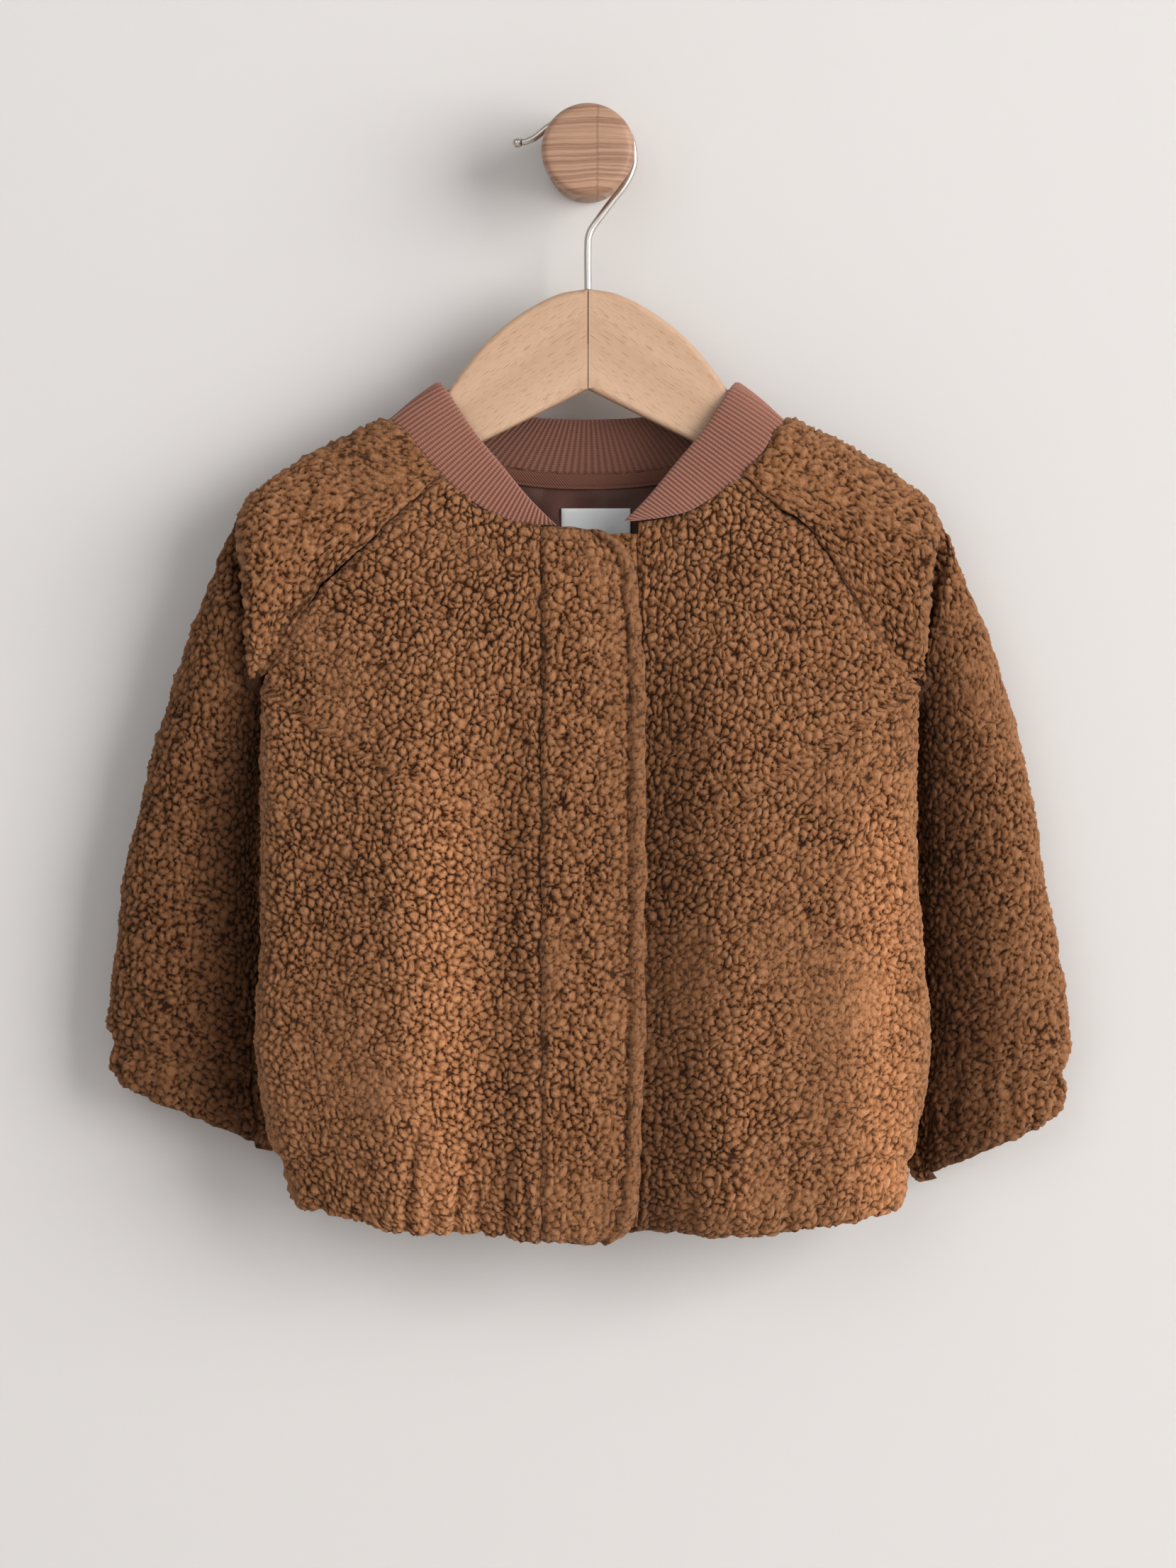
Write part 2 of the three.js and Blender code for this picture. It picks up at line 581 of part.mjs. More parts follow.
// The neckband: a folded rib knit between the neckline and its own top edge.
function neckband() {
  const top = line(BAND_TOP);
  const halfBand = (side) => {
    const neck = line(NECKLINE[sideName(side)]);
    return (q) => {
      const isBack = q > BAND_SHOULDER_SHARE;
      const s = isBack ? (1 - q) / (1 - BAND_SHOULDER_SHARE) : q / BAND_SHOULDER_SHARE;
      const shoulder = NECKLINE[sideName(side)].at(-1)[0];
      const backOut = shoulder * Math.sin((s * Math.PI) / 2);
      const [out, z] = isBack ? [backOut, backNeckZ(backOut)] : neck(s);
      const station = s >= 1 ? side : stationAt(side * out, z, isBack);
      const onSeam = (du, dz) => bodyPoint(station + du, z + dz);
      const across = onSeam(1e-3, 0).sub(onSeam(-1e-3, 0));
      const upward = onSeam(0, 0.05).sub(onSeam(0, -0.05));
      const low = onSeam(0, 0).addScaledVector(across.cross(upward).normalize(), -BAND_DEPTH);
      const [topOut, y, topZ] = top(q);
      const high = new THREE.Vector3(side * topOut, y, topZ);
      low.lerp(high, SEAM_GAP / low.distanceTo(high));
      return { low, high };
    };
  };
  const [left, right] = [halfBand(-1), halfBand(1)];
  const at = (s) => (s <= 0.5 ? left(2 * s) : right(2 - 2 * s));
  const stations = even(RIBS * 2);
  const heights = [0, 0.5, 0.97];
  const loops = stations.map((s, i) => {
    const here = at(s);
    const [before, after] = [at(Math.max(s - 4e-3, 0)), at(Math.min(s + 4e-3, 1))];
    const along = after.low.add(after.high).sub(before.low).sub(before.high);
    const up = here.high.clone().sub(here.low);
    const out = up.clone().cross(along).normalize();
    const half = BAND_THICK / 2 + (i % 2 ? RIB_HEIGHT : -RIB_HEIGHT);
    const point = (height, way) => {
      const belly = 0.8 * Math.sin(height * Math.PI);
      const round = height > 0.9 ? 0.7 : 1;
      return here.low.clone().addScaledVector(up, height).addScaledVector(out, belly + way * half * round);
    };
    return [...heights.map((h) => point(h, 1)), ...[...heights].reverse().map((h) => point(h, -1))];
  });
  return loft(loops);
}

// A solid through loops of as many points each, closed at both ends.
function loft(loops) {
  const n = loops[0].length;
  const faces = [];
  loops.slice(1).forEach((_, k) => {
    for (let i = 0; i < n; i++) {
      const [a, b] = [k * n + i, k * n + ((i + 1) % n)];
      faces.push([a, b, b + n], [a, b + n, a + n]);
    }
  });
  const lastLoop = (loops.length - 1) * n;
  for (let i = 1; i < n - 1; i++) {
    faces.push([0, i + 1, i]);
    faces.push([lastLoop, lastLoop + i, lastLoop + i + 1]);
  }
  return geometryOf(loops.flat(), faces);
}

// A geometry as a manifold-3d solid, and back
function solidOf(geometry) {
  geometry.deleteAttribute("normal");
  geometry.deleteAttribute("uv");
  const merged = mergeVertices(geometry, 1e-4);
  const vertProperties = merged.attributes.position.array;
  const triVerts = new Uint32Array(merged.index.array);
  return new wasm.Manifold(new wasm.Mesh({ numProp: 3, vertProperties, triVerts }));
}

function geometryFrom(solid) {
  const { numProp, vertProperties, triVerts } = solid.getMesh();
  const geometry = new THREE.BufferGeometry();
  geometry.setAttribute("position", new THREE.BufferAttribute(new Float32Array(vertProperties), numProp));
  geometry.setIndex(new THREE.BufferAttribute(new Uint32Array(triVerts), 1));
  geometry.computeVertexNormals();
  return geometry;
}

// The hanger's outline, right half: along the top from the middle to the tip, then the straight lower edge
const HANGER_TOP = [[0, -60], [13.8, -62.7], [30, -71.3], [43.7, -82.3], [52.6, -92.3], [63, -106.4],
  [70, -115.5], [80, -124.8], [92, -130.6], [110, -138.1], [125, -147.2], [132, -153], [135.5, -159.5],
  [134.5, -165.8], [129.5, -169]];
const HANGER_LOW_Z = -104.4;
const HOOK_FOOT_Z = -84; // the wire ends in the wood

function hangerArm(side) {
  const upper = new THREE.SplineCurve(HANGER_TOP.map(([x, z]) => new THREE.Vector2(x, z))).getPoints(26);
  const outline = [...upper.map((p) => new THREE.Vector2(-p.x, p.y)).reverse(), ...upper.slice(1)];
  outline.push(new THREE.Vector2(0, HANGER_LOW_Z));
  const flat = new THREE.ExtrudeGeometry(new THREE.Shape(outline), {
    depth: HANGER_THICK - 2 * HANGER_EDGE,
    bevelSize: HANGER_EDGE,
    bevelOffset: -HANGER_EDGE,
    bevelThickness: HANGER_EDGE,
    bevelSegments: 2,
  });
  flat.rotateX(Math.PI / 2).translate(0, HANG_Y + HANGER_THICK / 2 - HANGER_EDGE, 0);
  const boxSize = 200;
  const keep = new THREE.BoxGeometry(boxSize, boxSize, boxSize);
  keep.translate(side * (boxSize / 2 + SEAM_GAP / 2), HANG_Y, HOOK_FOOT_Z);
  const bore = new THREE.CylinderGeometry(WIRE + SEAM_GAP, WIRE + SEAM_GAP, 60, 12).rotateX(Math.PI / 2);
  bore.translate(0, HANG_Y, HOOK_FOOT_Z - SEAM_GAP + 30);
  return geometryFrom(solidOf(flat).intersect(solidOf(keep)).subtract(solidOf(bore)));
}

// The hook: straight up out of the wood, out to the right, over the peg and down to its ball tip
function hook() {
  const bend = [-4, 25, 55, 85, 110, 131].map((degrees) => {
    const angle = degToRad(degrees);
    return [HOOK_RADIUS * Math.cos(angle), HOOK_CENTRE_Z + HOOK_RADIUS * Math.sin(angle)];
  });
  const rise = [[0, HOOK_FOOT_Z], [0, -62], [0, -39], [1.2, -34], [5.8, -27.4], [10.6, -21], [15.8, -14.4],
    [19, -8.4]];
  const tip = [[-18.4, 11.6], [-21.3, 9.2], [-24.3, 7], [-27.6, 5.6], [-31.3, 5.1]];
  const path = [...rise, ...bend, ...tip].map(([x, z]) => new THREE.Vector3(x, HANG_Y, z));
  const section = new THREE.Shape().absarc(0, 0, WIRE, 0, 2 * Math.PI);
  const wire = new THREE.ExtrudeGeometry(section, {
    steps: 46,
    curveSegments: 5,
    extrudePath: new THREE.CatmullRomCurve3(path),
  });
  const ball = new THREE.SphereGeometry(HOOK_TIP, 10, 8);
  ball.translate(tip.at(-1)[0], HANG_Y, tip.at(-1)[1]);
  return geometryFrom(solidOf(wire).add(solidOf(ball)));
}

// The peg, turned about the Y axis: its flat back on the wall, its neck under the hook, its face in front
function wallPeg() {
  const profile = [[0, 0], [18.5, 0], [18.5, -6], [PEG_NECK, -14], [PEG_NECK, -36], [18.6, -40],
    [20.3, -43.5], [20.6, -46.5], [20, -49.5], [18.4, -51.2], [10, -52], [0, -52.2]];
  return new THREE.LatheGeometry(profile.map(([r, y]) => new THREE.Vector2(r, y)).reverse(), 28);
}

const MATERIALS = {
  fleece: new THREE.MeshStandardMaterial({ color: 0xa26f43, roughness: 1 }),
  rib: new THREE.MeshStandardMaterial({ color: 0x9a6d58, roughness: 0.95 }),
  tape: new THREE.MeshStandardMaterial({ color: 0x6b4435, roughness: 0.9 }),
  lining: new THREE.MeshStandardMaterial({ color: 0x553328, roughness: 0.9 }),
  label: new THREE.MeshStandardMaterial({ color: 0xc3c9cb, roughness: 0.7 }),
  beech: new THREE.MeshStandardMaterial({ color: 0xd2aa86, roughness: 0.55 }),
  peg: new THREE.MeshStandardMaterial({ color: 0xb28b70, roughness: 0.6 }),
  wire: new THREE.MeshStandardMaterial({ color: 0x9c9894, roughness: 0.35, metalness: 1 }),
};

// Strips inside the back of the neck: the lining on the fleece, and the tape and the label on the lining
const underNeck = (x) => backNeckZ(x) - NECK_MARGIN;
const ON_FLEECE = FLEECE + SEAM_GAP;
const ON_LINING = ON_FLEECE + THIN + SEAM_GAP;
const BACK_LINING = {
  from: -LINING.half,
  to: LINING.half,
  top: underNeck,
  low: () => LINING.low,
  columns: 12,
  rows: 8,
  depth: ON_FLEECE,
};
const NECK_TAPE = {
  from: -TAPE.half,
  to: TAPE.half,
  top: underNeck,
  low: (x) => underNeck(x) - TAPE.height,
  columns: 16,
  rows: 2,
  depth: ON_LINING,
};
const NECK_LABEL = {
  from: LABEL.from,
  to: LABEL.to,
  top: () => LABEL.top,
  low: () => LABEL.low,
  columns: 4,
  rows: 2,
  depth: ON_LINING,
};

const PIECES = [
  ["back", backPanel(), "fleece"],
  ["front_left", frontPanel(-1), "fleece"],
  ["front_right", frontPanel(1), "fleece"],
  ["placket", placket(), "fleece"],
  ["button_stand", underBand(), "fleece"],
  ["sleeve_left", sleeve(-1), "fleece"],
  ["sleeve_right", sleeve(1), "fleece"],
  ["neckband", neckband(), "rib"],
  ["neck_tape", insideBack(NECK_TAPE), "tape"],
  ["back_lining", insideBack(BACK_LINING), "lining"],
  ["label", insideBack(NECK_LABEL), "label"],
  ["hanger_arm_left", hangerArm(-1), "beech"],
  ["hanger_arm_right", hangerArm(1), "beech"],
  ["hook", hook(), "wire"],
  ["wall_peg", wallPeg(), "peg"],
];

const jacket = new THREE.Group();
for (const [name, geometry, material] of PIECES) {
  const mesh = new THREE.Mesh(geometry, MATERIALS[material]);
  mesh.name = name;
  jacket.add(mesh);
}
export default jacket;
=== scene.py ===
from itertools import product
from math import cos, pi, radians, sin

import bpy
import numpy as np
from bpy.props import FloatProperty, FloatVectorProperty, IntProperty, PointerProperty
from bpy.types import Operator, Panel, PropertyGroup
from mathutils import Euler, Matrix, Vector


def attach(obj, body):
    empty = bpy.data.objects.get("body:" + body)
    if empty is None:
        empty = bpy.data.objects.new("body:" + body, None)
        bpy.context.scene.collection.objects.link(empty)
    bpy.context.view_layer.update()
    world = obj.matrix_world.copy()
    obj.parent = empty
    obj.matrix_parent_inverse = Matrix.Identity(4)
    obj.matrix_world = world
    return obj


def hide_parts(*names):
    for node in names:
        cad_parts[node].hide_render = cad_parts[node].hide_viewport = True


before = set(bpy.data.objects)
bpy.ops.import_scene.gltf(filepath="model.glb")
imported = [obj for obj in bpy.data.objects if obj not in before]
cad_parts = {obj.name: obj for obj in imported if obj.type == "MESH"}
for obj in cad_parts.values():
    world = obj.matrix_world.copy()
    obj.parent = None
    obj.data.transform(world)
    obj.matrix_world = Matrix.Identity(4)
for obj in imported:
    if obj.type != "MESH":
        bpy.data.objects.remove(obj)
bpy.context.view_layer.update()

bl_info = {
    "name": "Fleece jacket on a hanger",
    "version": (1, 0, 0),
    "blender": (4, 5, 0),
    "location": "3D View > Sidebar > Jacket",
    "description": "A child's fleece jacket on a wooden hanger, hung by its wire hook on a wall peg",
    "category": "Add Mesh",
}

# The tables below are in millimetres and repeat the CAD source's own. Left and right are the picture's: left is -X.
MM = 0.001
FLEECE = 5.0  # thickness of the fleece with its pile
SEAM_GAP = 0.3
SEWN_GAP = 0.04  # what is left between two sewn pieces of fleece
SEAM_DIP = 1.8  # how far the pile sinks at a seam
THIN = 1.0  # thickness of lining, tape and label
HANG_Y = -30.0
HANGER_THICK = 11.0
WIRE = 1.65
HOOK_RADIUS = 20.5
HOOK_TIP = 2.4
PEG_NECK = 17.6
HOOK_CENTRE_Z = PEG_NECK + SEAM_GAP + WIRE - HOOK_RADIUS

# Level sections of the body: [z, left, right, side line's y, front's y, back's y]
SECTIONS = [
    [-484, 110, 122, -42, -63, -15],
    [-472, 122, 133, -44, -69, -10.5],
    [-465, 128, 137.5, -45, -72, -8.5],
    [-450, 134, 140.5, -46.5, -75, -6.5],
    [-435, 139.5, 144, -48, -77.5, -5],
    [-419, 143.5, 148, -49, -79, -4.5],
    [-394, 146.6, 151, -49, -79.5, -4.3],
    [-346, 144.5, 147, -48, -78, -4.5],
    [-300, 144.5, 145, -46, -74, -5.5],
    [-260, 144.5, 145.5, -42.5, -67, -7],
    [-234, 144.5, 146, -37, -62, -8],
    [-185, 147, 146, -32, -51.5, -10],
    [-165, 150, 149, -31, -48.5, -11],
    [-152, 151, 150, -30, -48, -12],
    [-140, 137, 134, -30, -48, -12],
    [-127, 111.5, 109, -30, -48, -12],
    [-116, 89, 88, -30, -47, -13],
    [-104, 66, 66, -30, -46, -14],
]
FRONT_POWER = 2.7  # how square the front half of a section is: 2 is an ellipse
BACK_POWER = 2.2
USUAL_WIDTH, USUAL_FRONT, USUAL_BACK = 145, 32, 34

# From beside the centre front up to the point of the shoulder, then the raglan seams down to the armpit: [out, z]
NECKLINE = {
    -1: [[14, -165], [28.5, -164], [39, -161.3], [53, -153], [64.5, -143], [72.5, -134.5], [81, -123.5],
         [88.8, -116]],
    1: [[21, -163.2], [34, -161.3], [44.6, -158.5], [56, -152], [68, -143.4], [75.5, -134.5], [82.5, -123.5],
        [88, -116]],
}
BACK_NECK_DROP = 25
FRONT_SEAM = {
    -1: [[64.5, -143], [83, -160], [101, -177], [118.8, -194], [134, -215]],
    1: [[68, -143.4], [84.7, -157], [96, -165.6], [106.6, -179], [125, -209]],
}
BACK_SEAM = [[60, -131.3], [84, -158], [108, -190], [129.5, -216]]
ARMPIT_Z = -234
ARMPIT_SHARE = 12 / 22  # where a panel's rows pass the armpit
HEM_Z = -480
HEM_RISE = 13
GATHER_LINE_Z = -446  # where the elastic's seam draws the cloth in
HEM_TURN = 1.5  # how far the cloth rounds in at its turned-up edges

# Bands down the front
PLACKET_SEAM_X = -20.6
UNDER_BAND_X = -17
RIGHT_SEAM_X = 22.3
PLACKET_RAISE = 1.5
UNDER_DEPTH = 4.8
UNDER_CLEAR = 1.4
PLACKET_TOP_Z = -165.6
STAND_LOW_Z, STAND_TOP_Z = HEM_Z + 5, -168.5
PLACKET_EDGE = [[12, -480.5], [19, -472], [22, -455], [24, -418], [25, -370], [25, -250], [24.2, -215],
                [22.2, -193], [19.3, -181], [15, -174], [7, -168]]
PLACKET_ROLL = 7.2  # width of the rolled edge beside its stitched groove

# Sections of a sleeve from the fold at the shoulder to the cuff:
# [outer x, outer z, outer y, inner x, inner z, inner y, depth of the front, depth of the back]
SLEEVE_RINGS = [
    [149, -150, -30, 148.6, -235, -36, 17, 20],  # fold
    [157, -163, -27, 145.5, -238, -31, 2, 18],  # groove
    [164, -178, -26, 142.3, -243.5, -25, 13, 18],
    [172, -200, -24, 140.8, -253, -21.5, 15, 17],
    [185, -238, -23, 140.5, -276, -21, 16, 16],
    [197, -281, -22, 141, -311, -20.5, 15.5, 15],
    [206, -326, -22, 140, -349, -20, 16, 14.5],
    [212.5, -368, -22, 138.5, -389, -20, 16, 14],
    [214.5, -384, -21, 137.5, -404, -20, 15.5, 13.5],  # fullness
    [211.5, -395, -21, 138.5, -417, -20, 12.5, 11.5],  # elastic
    [213, -404, -21, 136.5, -430, -20, 14, 12.5],  # casing
    [209, -414, -21, 139, -443, -20, 11, 10.5],  # edge
]
RING_POWER = 2.4
RIDGE_LIFT = 2.5
NECK_SHARE = 4 / 28  # share of the armhole that lies along the neckline, from the shoulder point down one side
RIGHT_SLEEVE_DROP = 14
RIGHT_SLEEVE_SHIFT = 5
DROP_FROM_Z = -270
DROP_TO_Z = -415

# The neckband's top edge from the front tip round the shoulder to the centre back: [out, y, z]
BAND_TOP = [[16, -45.4, -163.4], [26.5, -44.8, -152.6], [38, -43.4, -138.6], [50, -41.4, -124],
            [58.8, -38.9, -110.6], [63.3, -35, -103.6], [65, -30, -101.6], [63.3, -25, -103.4],
            [57.5, -21, -107.4], [42, -17.4, -113], [21, -15.6, -116], [0, -15, -116.7]]
BAND_THICK = 2.4
BAND_DEPTH = 3.2
LINING_HALF, LINING_LOW = 62, -236
TAPE_HALF, TAPE_HEIGHT = 66, 6.5
NECK_MARGIN = 0.6
LABEL_FROM, LABEL_TO, LABEL_TOP, LABEL_LOW = -12, 19, -156, -182

HANGER_TOP = [[0, -60], [13.8, -62.7], [30, -71.3], [43.7, -82.3], [52.6, -92.3], [63, -106.4], [70, -115.5],
              [80, -124.8], [92, -130.6], [110, -138.1], [125, -147.2], [132, -153], [135.5, -159.5],
              [134.5, -165.8], [129.5, -169]]
HANGER_LOW_Z = -104.4
HOOK_FOOT_Z = -84
HOOK_RISE = [[0, HOOK_FOOT_Z], [0, -62], [0, -39], [1.2, -34], [5.8, -27.4], [10.6, -21], [15.8, -14.4],
             [19, -8.4]]
HOOK_BEND = [-4, 25, 55, 85, 110, 131]  # degrees round the peg
HOOK_END = [[-18.4, 11.6], [-21.3, 9.2], [-24.3, 7], [-27.6, 5.6], [-31.3, 5.1]]
PEG_PROFILE = [[0, 0], [18.5, 0], [18.5, -6], [17.6, -14], [17.6, -36], [18.6, -40], [20.3, -43.5],
               [20.6, -46.5], [20, -49.5], [18.4, -51.2], [10, -52], [0, -52.2]]

# How far from each edge the pile sinks or the cloth rounds in
BAND_SEAM, SIDE_SEAM, NECK_SEAM, HEM_EDGE = 1.7, 1.8, 2.2, 2.2

# The pile: sizes in shares of a nub, then the cloth's sway and its brushed patches
NUB_WARPS = [(0.26, 0.8), (0.1, 0.33)]  # how far a nub's outline wanders, and over what length
NUB_JITTER = 0.72  # how unevenly the nubs lie
NUB_REACH = 0.16  # how much further the largest nubs reach
NUB_CREVICE = 0.7  # the width of the slope down to a crevice
NUB_RADIUS = 0.75
PILE_LEVEL = 0.62  # the height in a nub that lies at the cloth's nominal face
CURL_SIZE = 0.55  # the small curls between the nubs
SWAY, SWAY_SIZE, SWAY_SALT = 1.0, 6, 500
PATCH_SIZES = (33, 13)
SHAG, SHAG_SIZE = 0.3, 1.9

# The inner skin has every fourth.
COARSER = 4
FRONT_GRID = (80, 112, 72), (180, 264, 156)  # columns, rows below the armpit, rows above it
PLACKET_GRID = (28, 176), (56, 352)
STAND_GRID = (12, 80), (28, 200)
BACK_GRID = (112, 72, 48), (224, 152, 92)
SLEEVE_GRID = (112, 148), (224, 300)
POINTS_PER_RIB = 6, 8

# Round a sleeve, in shares of a turn from its outer edge by the front: [share, half width, amount]
SLEEVE_SINK = [0.425, 0.085, 5.5]  # the cloth sinks towards the body
SLEEVE_SWELL = [0.17, 0.09, 1.5]
# SLEEVE_SHADES and LEFT_SHADES are painted shade: they darken the sleeves' colour where the body shades them, and over
# the left sleeve, which lies away from the light.
SLEEVE_SHADES = [[0.32, 0.13, 0.8], [0.5, 0.1, 0.3]]
LEFT_SHADES = [[0.15, 0.2, 0.46], [1, 0.1, 0.46]]  # the left sleeve lies away from the light
SLEEVE_THIN = [0.5, 0.16, 4.0]  # the wall is thinner at the armpit
CUFF_CREASES = 17
CUFF_ROUND = 185  # length round a sleeve at its creases
CREASE_BANK = 0.35  # how high the cloth swells beside a crease
BACK_CREASES = 22

# Stage, in metres
WALL_Y, WALL_REACH, FLOOR_Z = 0.0015, 4.0, -1.15
KEY_PLACE, KEY_WIDTH, KEY_HEIGHT = (4.05, -3.3, 0.5), 3.9, 3.4
FILL_PLACE, FILL_SIZE = (-0.9, -2.6, 0.5), 1.8
LIGHTS_AIM = (0, 0, -0.3)

# Creases that the hem's elastic draws: [x, highest z, depth, half width, lean]
FRONT_CREASES = {
    -1: [[-118, -452, 1.6, 3.0, 0.15], [-98, -448, 1.5, 2.6, -0.05], [-79, -432, 2.9, 2.6, 0.1],
         [-68, -455, 1.7, 2.2, 0.0], [-58, -436, 2.8, 2.4, 0.12], [-48, -442, 2.2, 2.0, -0.1],
         [-36, -436, 2.9, 2.2, 0.08], [-27, -446, 2.0, 2.0, -0.06]],
    1: [[27.5, -440, 1.6, 2.4, 0.0], [45, -445, 1.8, 2.8, -0.12], [64, -455, 1.3, 2.6, 0.1],
        [86, -440, 2.0, 3.0, 0.1], [100, -452, 1.2, 2.4, 0.0], [112, -446, 1.9, 2.6, 0.16],
        [124, -456, 1.4, 2.2, 0.1]],
}

PLACKET_CREASES = [[-8, -452, 1.2, 2.6, 0.1], [4, -460, 1.0, 2.4, -0.1]]

# Broad folds in which the fronts hang, deeper towards the hem: [x, height, half width, lean]
FRONT_FOLDS = {
    -1: [[-118, -1.6, 13, 0.0], [-84, 4.2, 15, 0.02], [-46, -4.6, 13, 0.05], [-24, 1.6, 7, 0.0]],
    1: [[33, -6.0, 17, 0.0], [80, 1.6, 16, -0.04], [112, 2.6, 13, 0.0]],
}

# Where the fronts' pile looks darker, or lighter below nought, because it lies away from or towards the light:
# [x, amount, half width, z at which it starts]
FRONT_SHADES = {
    -1: [[-62, -0.38, 15, 230], [-118, 0.12, 14, 240]],
    1: [[24, 0.62, 30, 185], [68, -0.22, 8, 320], [130, -0.5, 15, 240]],
}


def bell(x, width):
    """1 at nought, falling away smoothly over a width."""
    return np.exp(-((x / width) ** 2))


def step_up(x, low, high):
    """0 below low, 1 above high, smooth between."""
    t = np.clip((x - low) / (high - low), 0, 1)
    return t * t * (3 - 2 * t)


def bump(x, spot):
    """A bell of an amount: spot holds where, its half width and the amount."""
    return spot[2] * bell(x - spot[0], spot[1])


def mix(a, b, t):
    """Between a and b."""
    return a + (b - a) * t


def through(rows):
    """A smooth function through rows of numbers, of which the first rises."""
    table = np.array(rows, float)
    x = table[:, 0]
    slope = np.empty_like(table)
    slope[1:-1] = (table[2:] - table[:-2]) / (x[2:] - x[:-2])[:, None]
    slope[0] = (table[1] - table[0]) / (x[1] - x[0])
    slope[-1] = (table[-1] - table[-2]) / (x[-1] - x[-2])

    def at(t):
        t = np.asarray(t, float)
        i = np.clip(np.searchsorted(x, t, side="right") - 1, 0, len(x) - 2)
        span = (x[i + 1] - x[i])[..., None]
        s = (t - x[i])[..., None] / span
        start = (2 * s**3 - 3 * s**2 + 1) * table[i] + (s**3 - 2 * s**2 + s) * span * slope[i]
        end = (3 * s**2 - 2 * s**3) * table[i + 1] + (s**3 - s**2) * span * slope[i + 1]
        return (start + end)[..., 1:]

    return at


def line(points):
    """A smooth line through points, as a function of the share of its length."""
    p = np.array(points, float)
    far = np.concatenate([[0], np.cumsum(np.linalg.norm(np.diff(p, axis=0), axis=1))])
    at = through(np.column_stack([far, p]))
    return lambda share: at(np.asarray(share, float) * far[-1])


def share_where(at, value):
    """The share of a line's length at which its rising first number reaches a value."""
    low, high = 0.0, 1.0
    for _ in range(30):
        middle = (low + high) / 2
        if at(middle)[0] < value:
            low = middle
        else:
            high = middle
    return low


section = through(SECTIONS)


class Quarter:
    """A quarter of a level section: the angle at each share of its length, and the share at each angle."""

    def __init__(self, depth, power):
        self.angles = np.linspace(0, pi / 2, 401)
        c, s = np.clip(np.cos(self.angles), 0, 1), np.sin(self.angles)
        r = (s**power + c**power) ** (-1 / power)
        path = np.column_stack([USUAL_WIDTH * r * s, depth * r * c])
        far = np.concatenate([[0], np.cumsum(np.linalg.norm(np.diff(path, axis=0), axis=1))])
        self.length = far[-1]
        self.shares = far / far[-1]

    def angle(self, share):
        return np.interp(share, self.shares, self.angles)

    def share(self, angle):
        return np.interp(angle, self.angles, self.shares)


FRONT_QUARTER = Quarter(USUAL_FRONT, FRONT_POWER)
BACK_QUARTER = Quarter(USUAL_BACK, BACK_POWER)

# Noise cells lie aslant, so that their rows don't show on the cloth.
TILT = np.array(Euler((0.61, 0.37, 0.83)).to_matrix())
TURN = np.array([[cos(0.47), sin(0.47)], [-sin(0.47), cos(0.47)]])
CELL_PRIMES = np.array([374761393, 668265263, 2147483647])


def body_point(station, z):
    """A point of the body's face. Station 0 is the centre front, 1 the right side, 2 the centre back."""
    station, z = np.broadcast_arrays(np.asarray(station, float), np.asarray(z, float))
    s = (station + 2) % 4 - 2
    left, right, side, front, back = np.moveaxis(section(z), -1, 0)
    is_back = np.abs(s) > 1
    power = np.where(is_back, BACK_POWER, FRONT_POWER)
    angle = np.where(is_back, BACK_QUARTER.angle(2 - np.abs(s)), FRONT_QUARTER.angle(np.abs(s)))
    c, q = np.clip(np.cos(angle), 0, 1), np.sin(angle)
    r = (q**power + c**power) ** (-1 / power)
    width = np.where(s < 0, -left, right)
    depth = np.where(is_back, back, front) - side
    return np.stack([width * r * q, side + depth * r * c, z], axis=-1)


def station_at(x, z, is_back=False):
    """The station of the body's face at x, on the front or the back."""
    x, z = np.broadcast_arrays(np.asarray(x, float), np.asarray(z, float))
    left, right = np.moveaxis(section(z)[..., :2], -1, 0)
    power = BACK_POWER if is_back else FRONT_POWER
    s = np.clip(np.abs(x) / np.where(x < 0, left, right), 0, 1)
    angle = np.arctan2(s, (1 - s**power) ** (1 / power))
    share = np.sign(x) * (BACK_QUARTER if is_back else FRONT_QUARTER).share(angle)
    return 2 - share if is_back else share


def patch(bottom, top, first, second):
    """The flat shape between four borders, each a function of 0..1 that gives [station, z]."""
    corners = [bottom(0.0), bottom(1.0), top(0.0), top(1.0)]

    def at(u, v):
        a, b = u[..., None], v[..., None]
        ruled = mix(bottom(u), top(u), b) + mix(first(v), second(v), a)
        return ruled - mix(mix(corners[0], corners[1], a), mix(corners[2], corners[3], a), b)

    return at


def pair(station, z):
    return np.stack(np.broadcast_arrays(np.asarray(station, float), np.asarray(z, float)), axis=-1)


def hem_z(station):
    return HEM_Z + HEM_RISE * np.abs(np.sin(np.asarray(station) * pi / 2)) ** 5


def back_neck_z(x):
    out, z = NECKLINE[-1][-1]
    return z - BACK_NECK_DROP * (1 - np.clip(np.abs(x) / out, 0, 1) ** 2.4)


def raglan(side, is_back):
    """A raglan seam down to the armpit, as a share of its length: [distance out, z]."""
    width = section(ARMPIT_Z)[0 if side < 0 else 1]
    return line((BACK_SEAM if is_back else FRONT_SEAM[side]) + [[width, ARMPIT_Z]])


def side_border(side, is_back):
    """A panel's side: up the side seam to the armpit, then along the raglan seam, as [station, z]."""
    seam = raglan(side, is_back)
    station = 2 - side if is_back else side
    gap = (side if is_back else -side) * SEWN_GAP / 2 / USUAL_WIDTH

    def at(v):
        v = np.asarray(v, float)
        low = pair(station + gap, mix(hem_z(1), ARMPIT_Z, v / ARMPIT_SHARE))
        above = seam(np.clip(1 - (v - ARMPIT_SHARE) / (1 - ARMPIT_SHARE), 0, 1))
        high = pair(station_at(side * above[..., 0], above[..., 1], is_back) + gap, above[..., 1])
        return np.where((v <= ARMPIT_SHARE)[..., None], low, high)

    return at


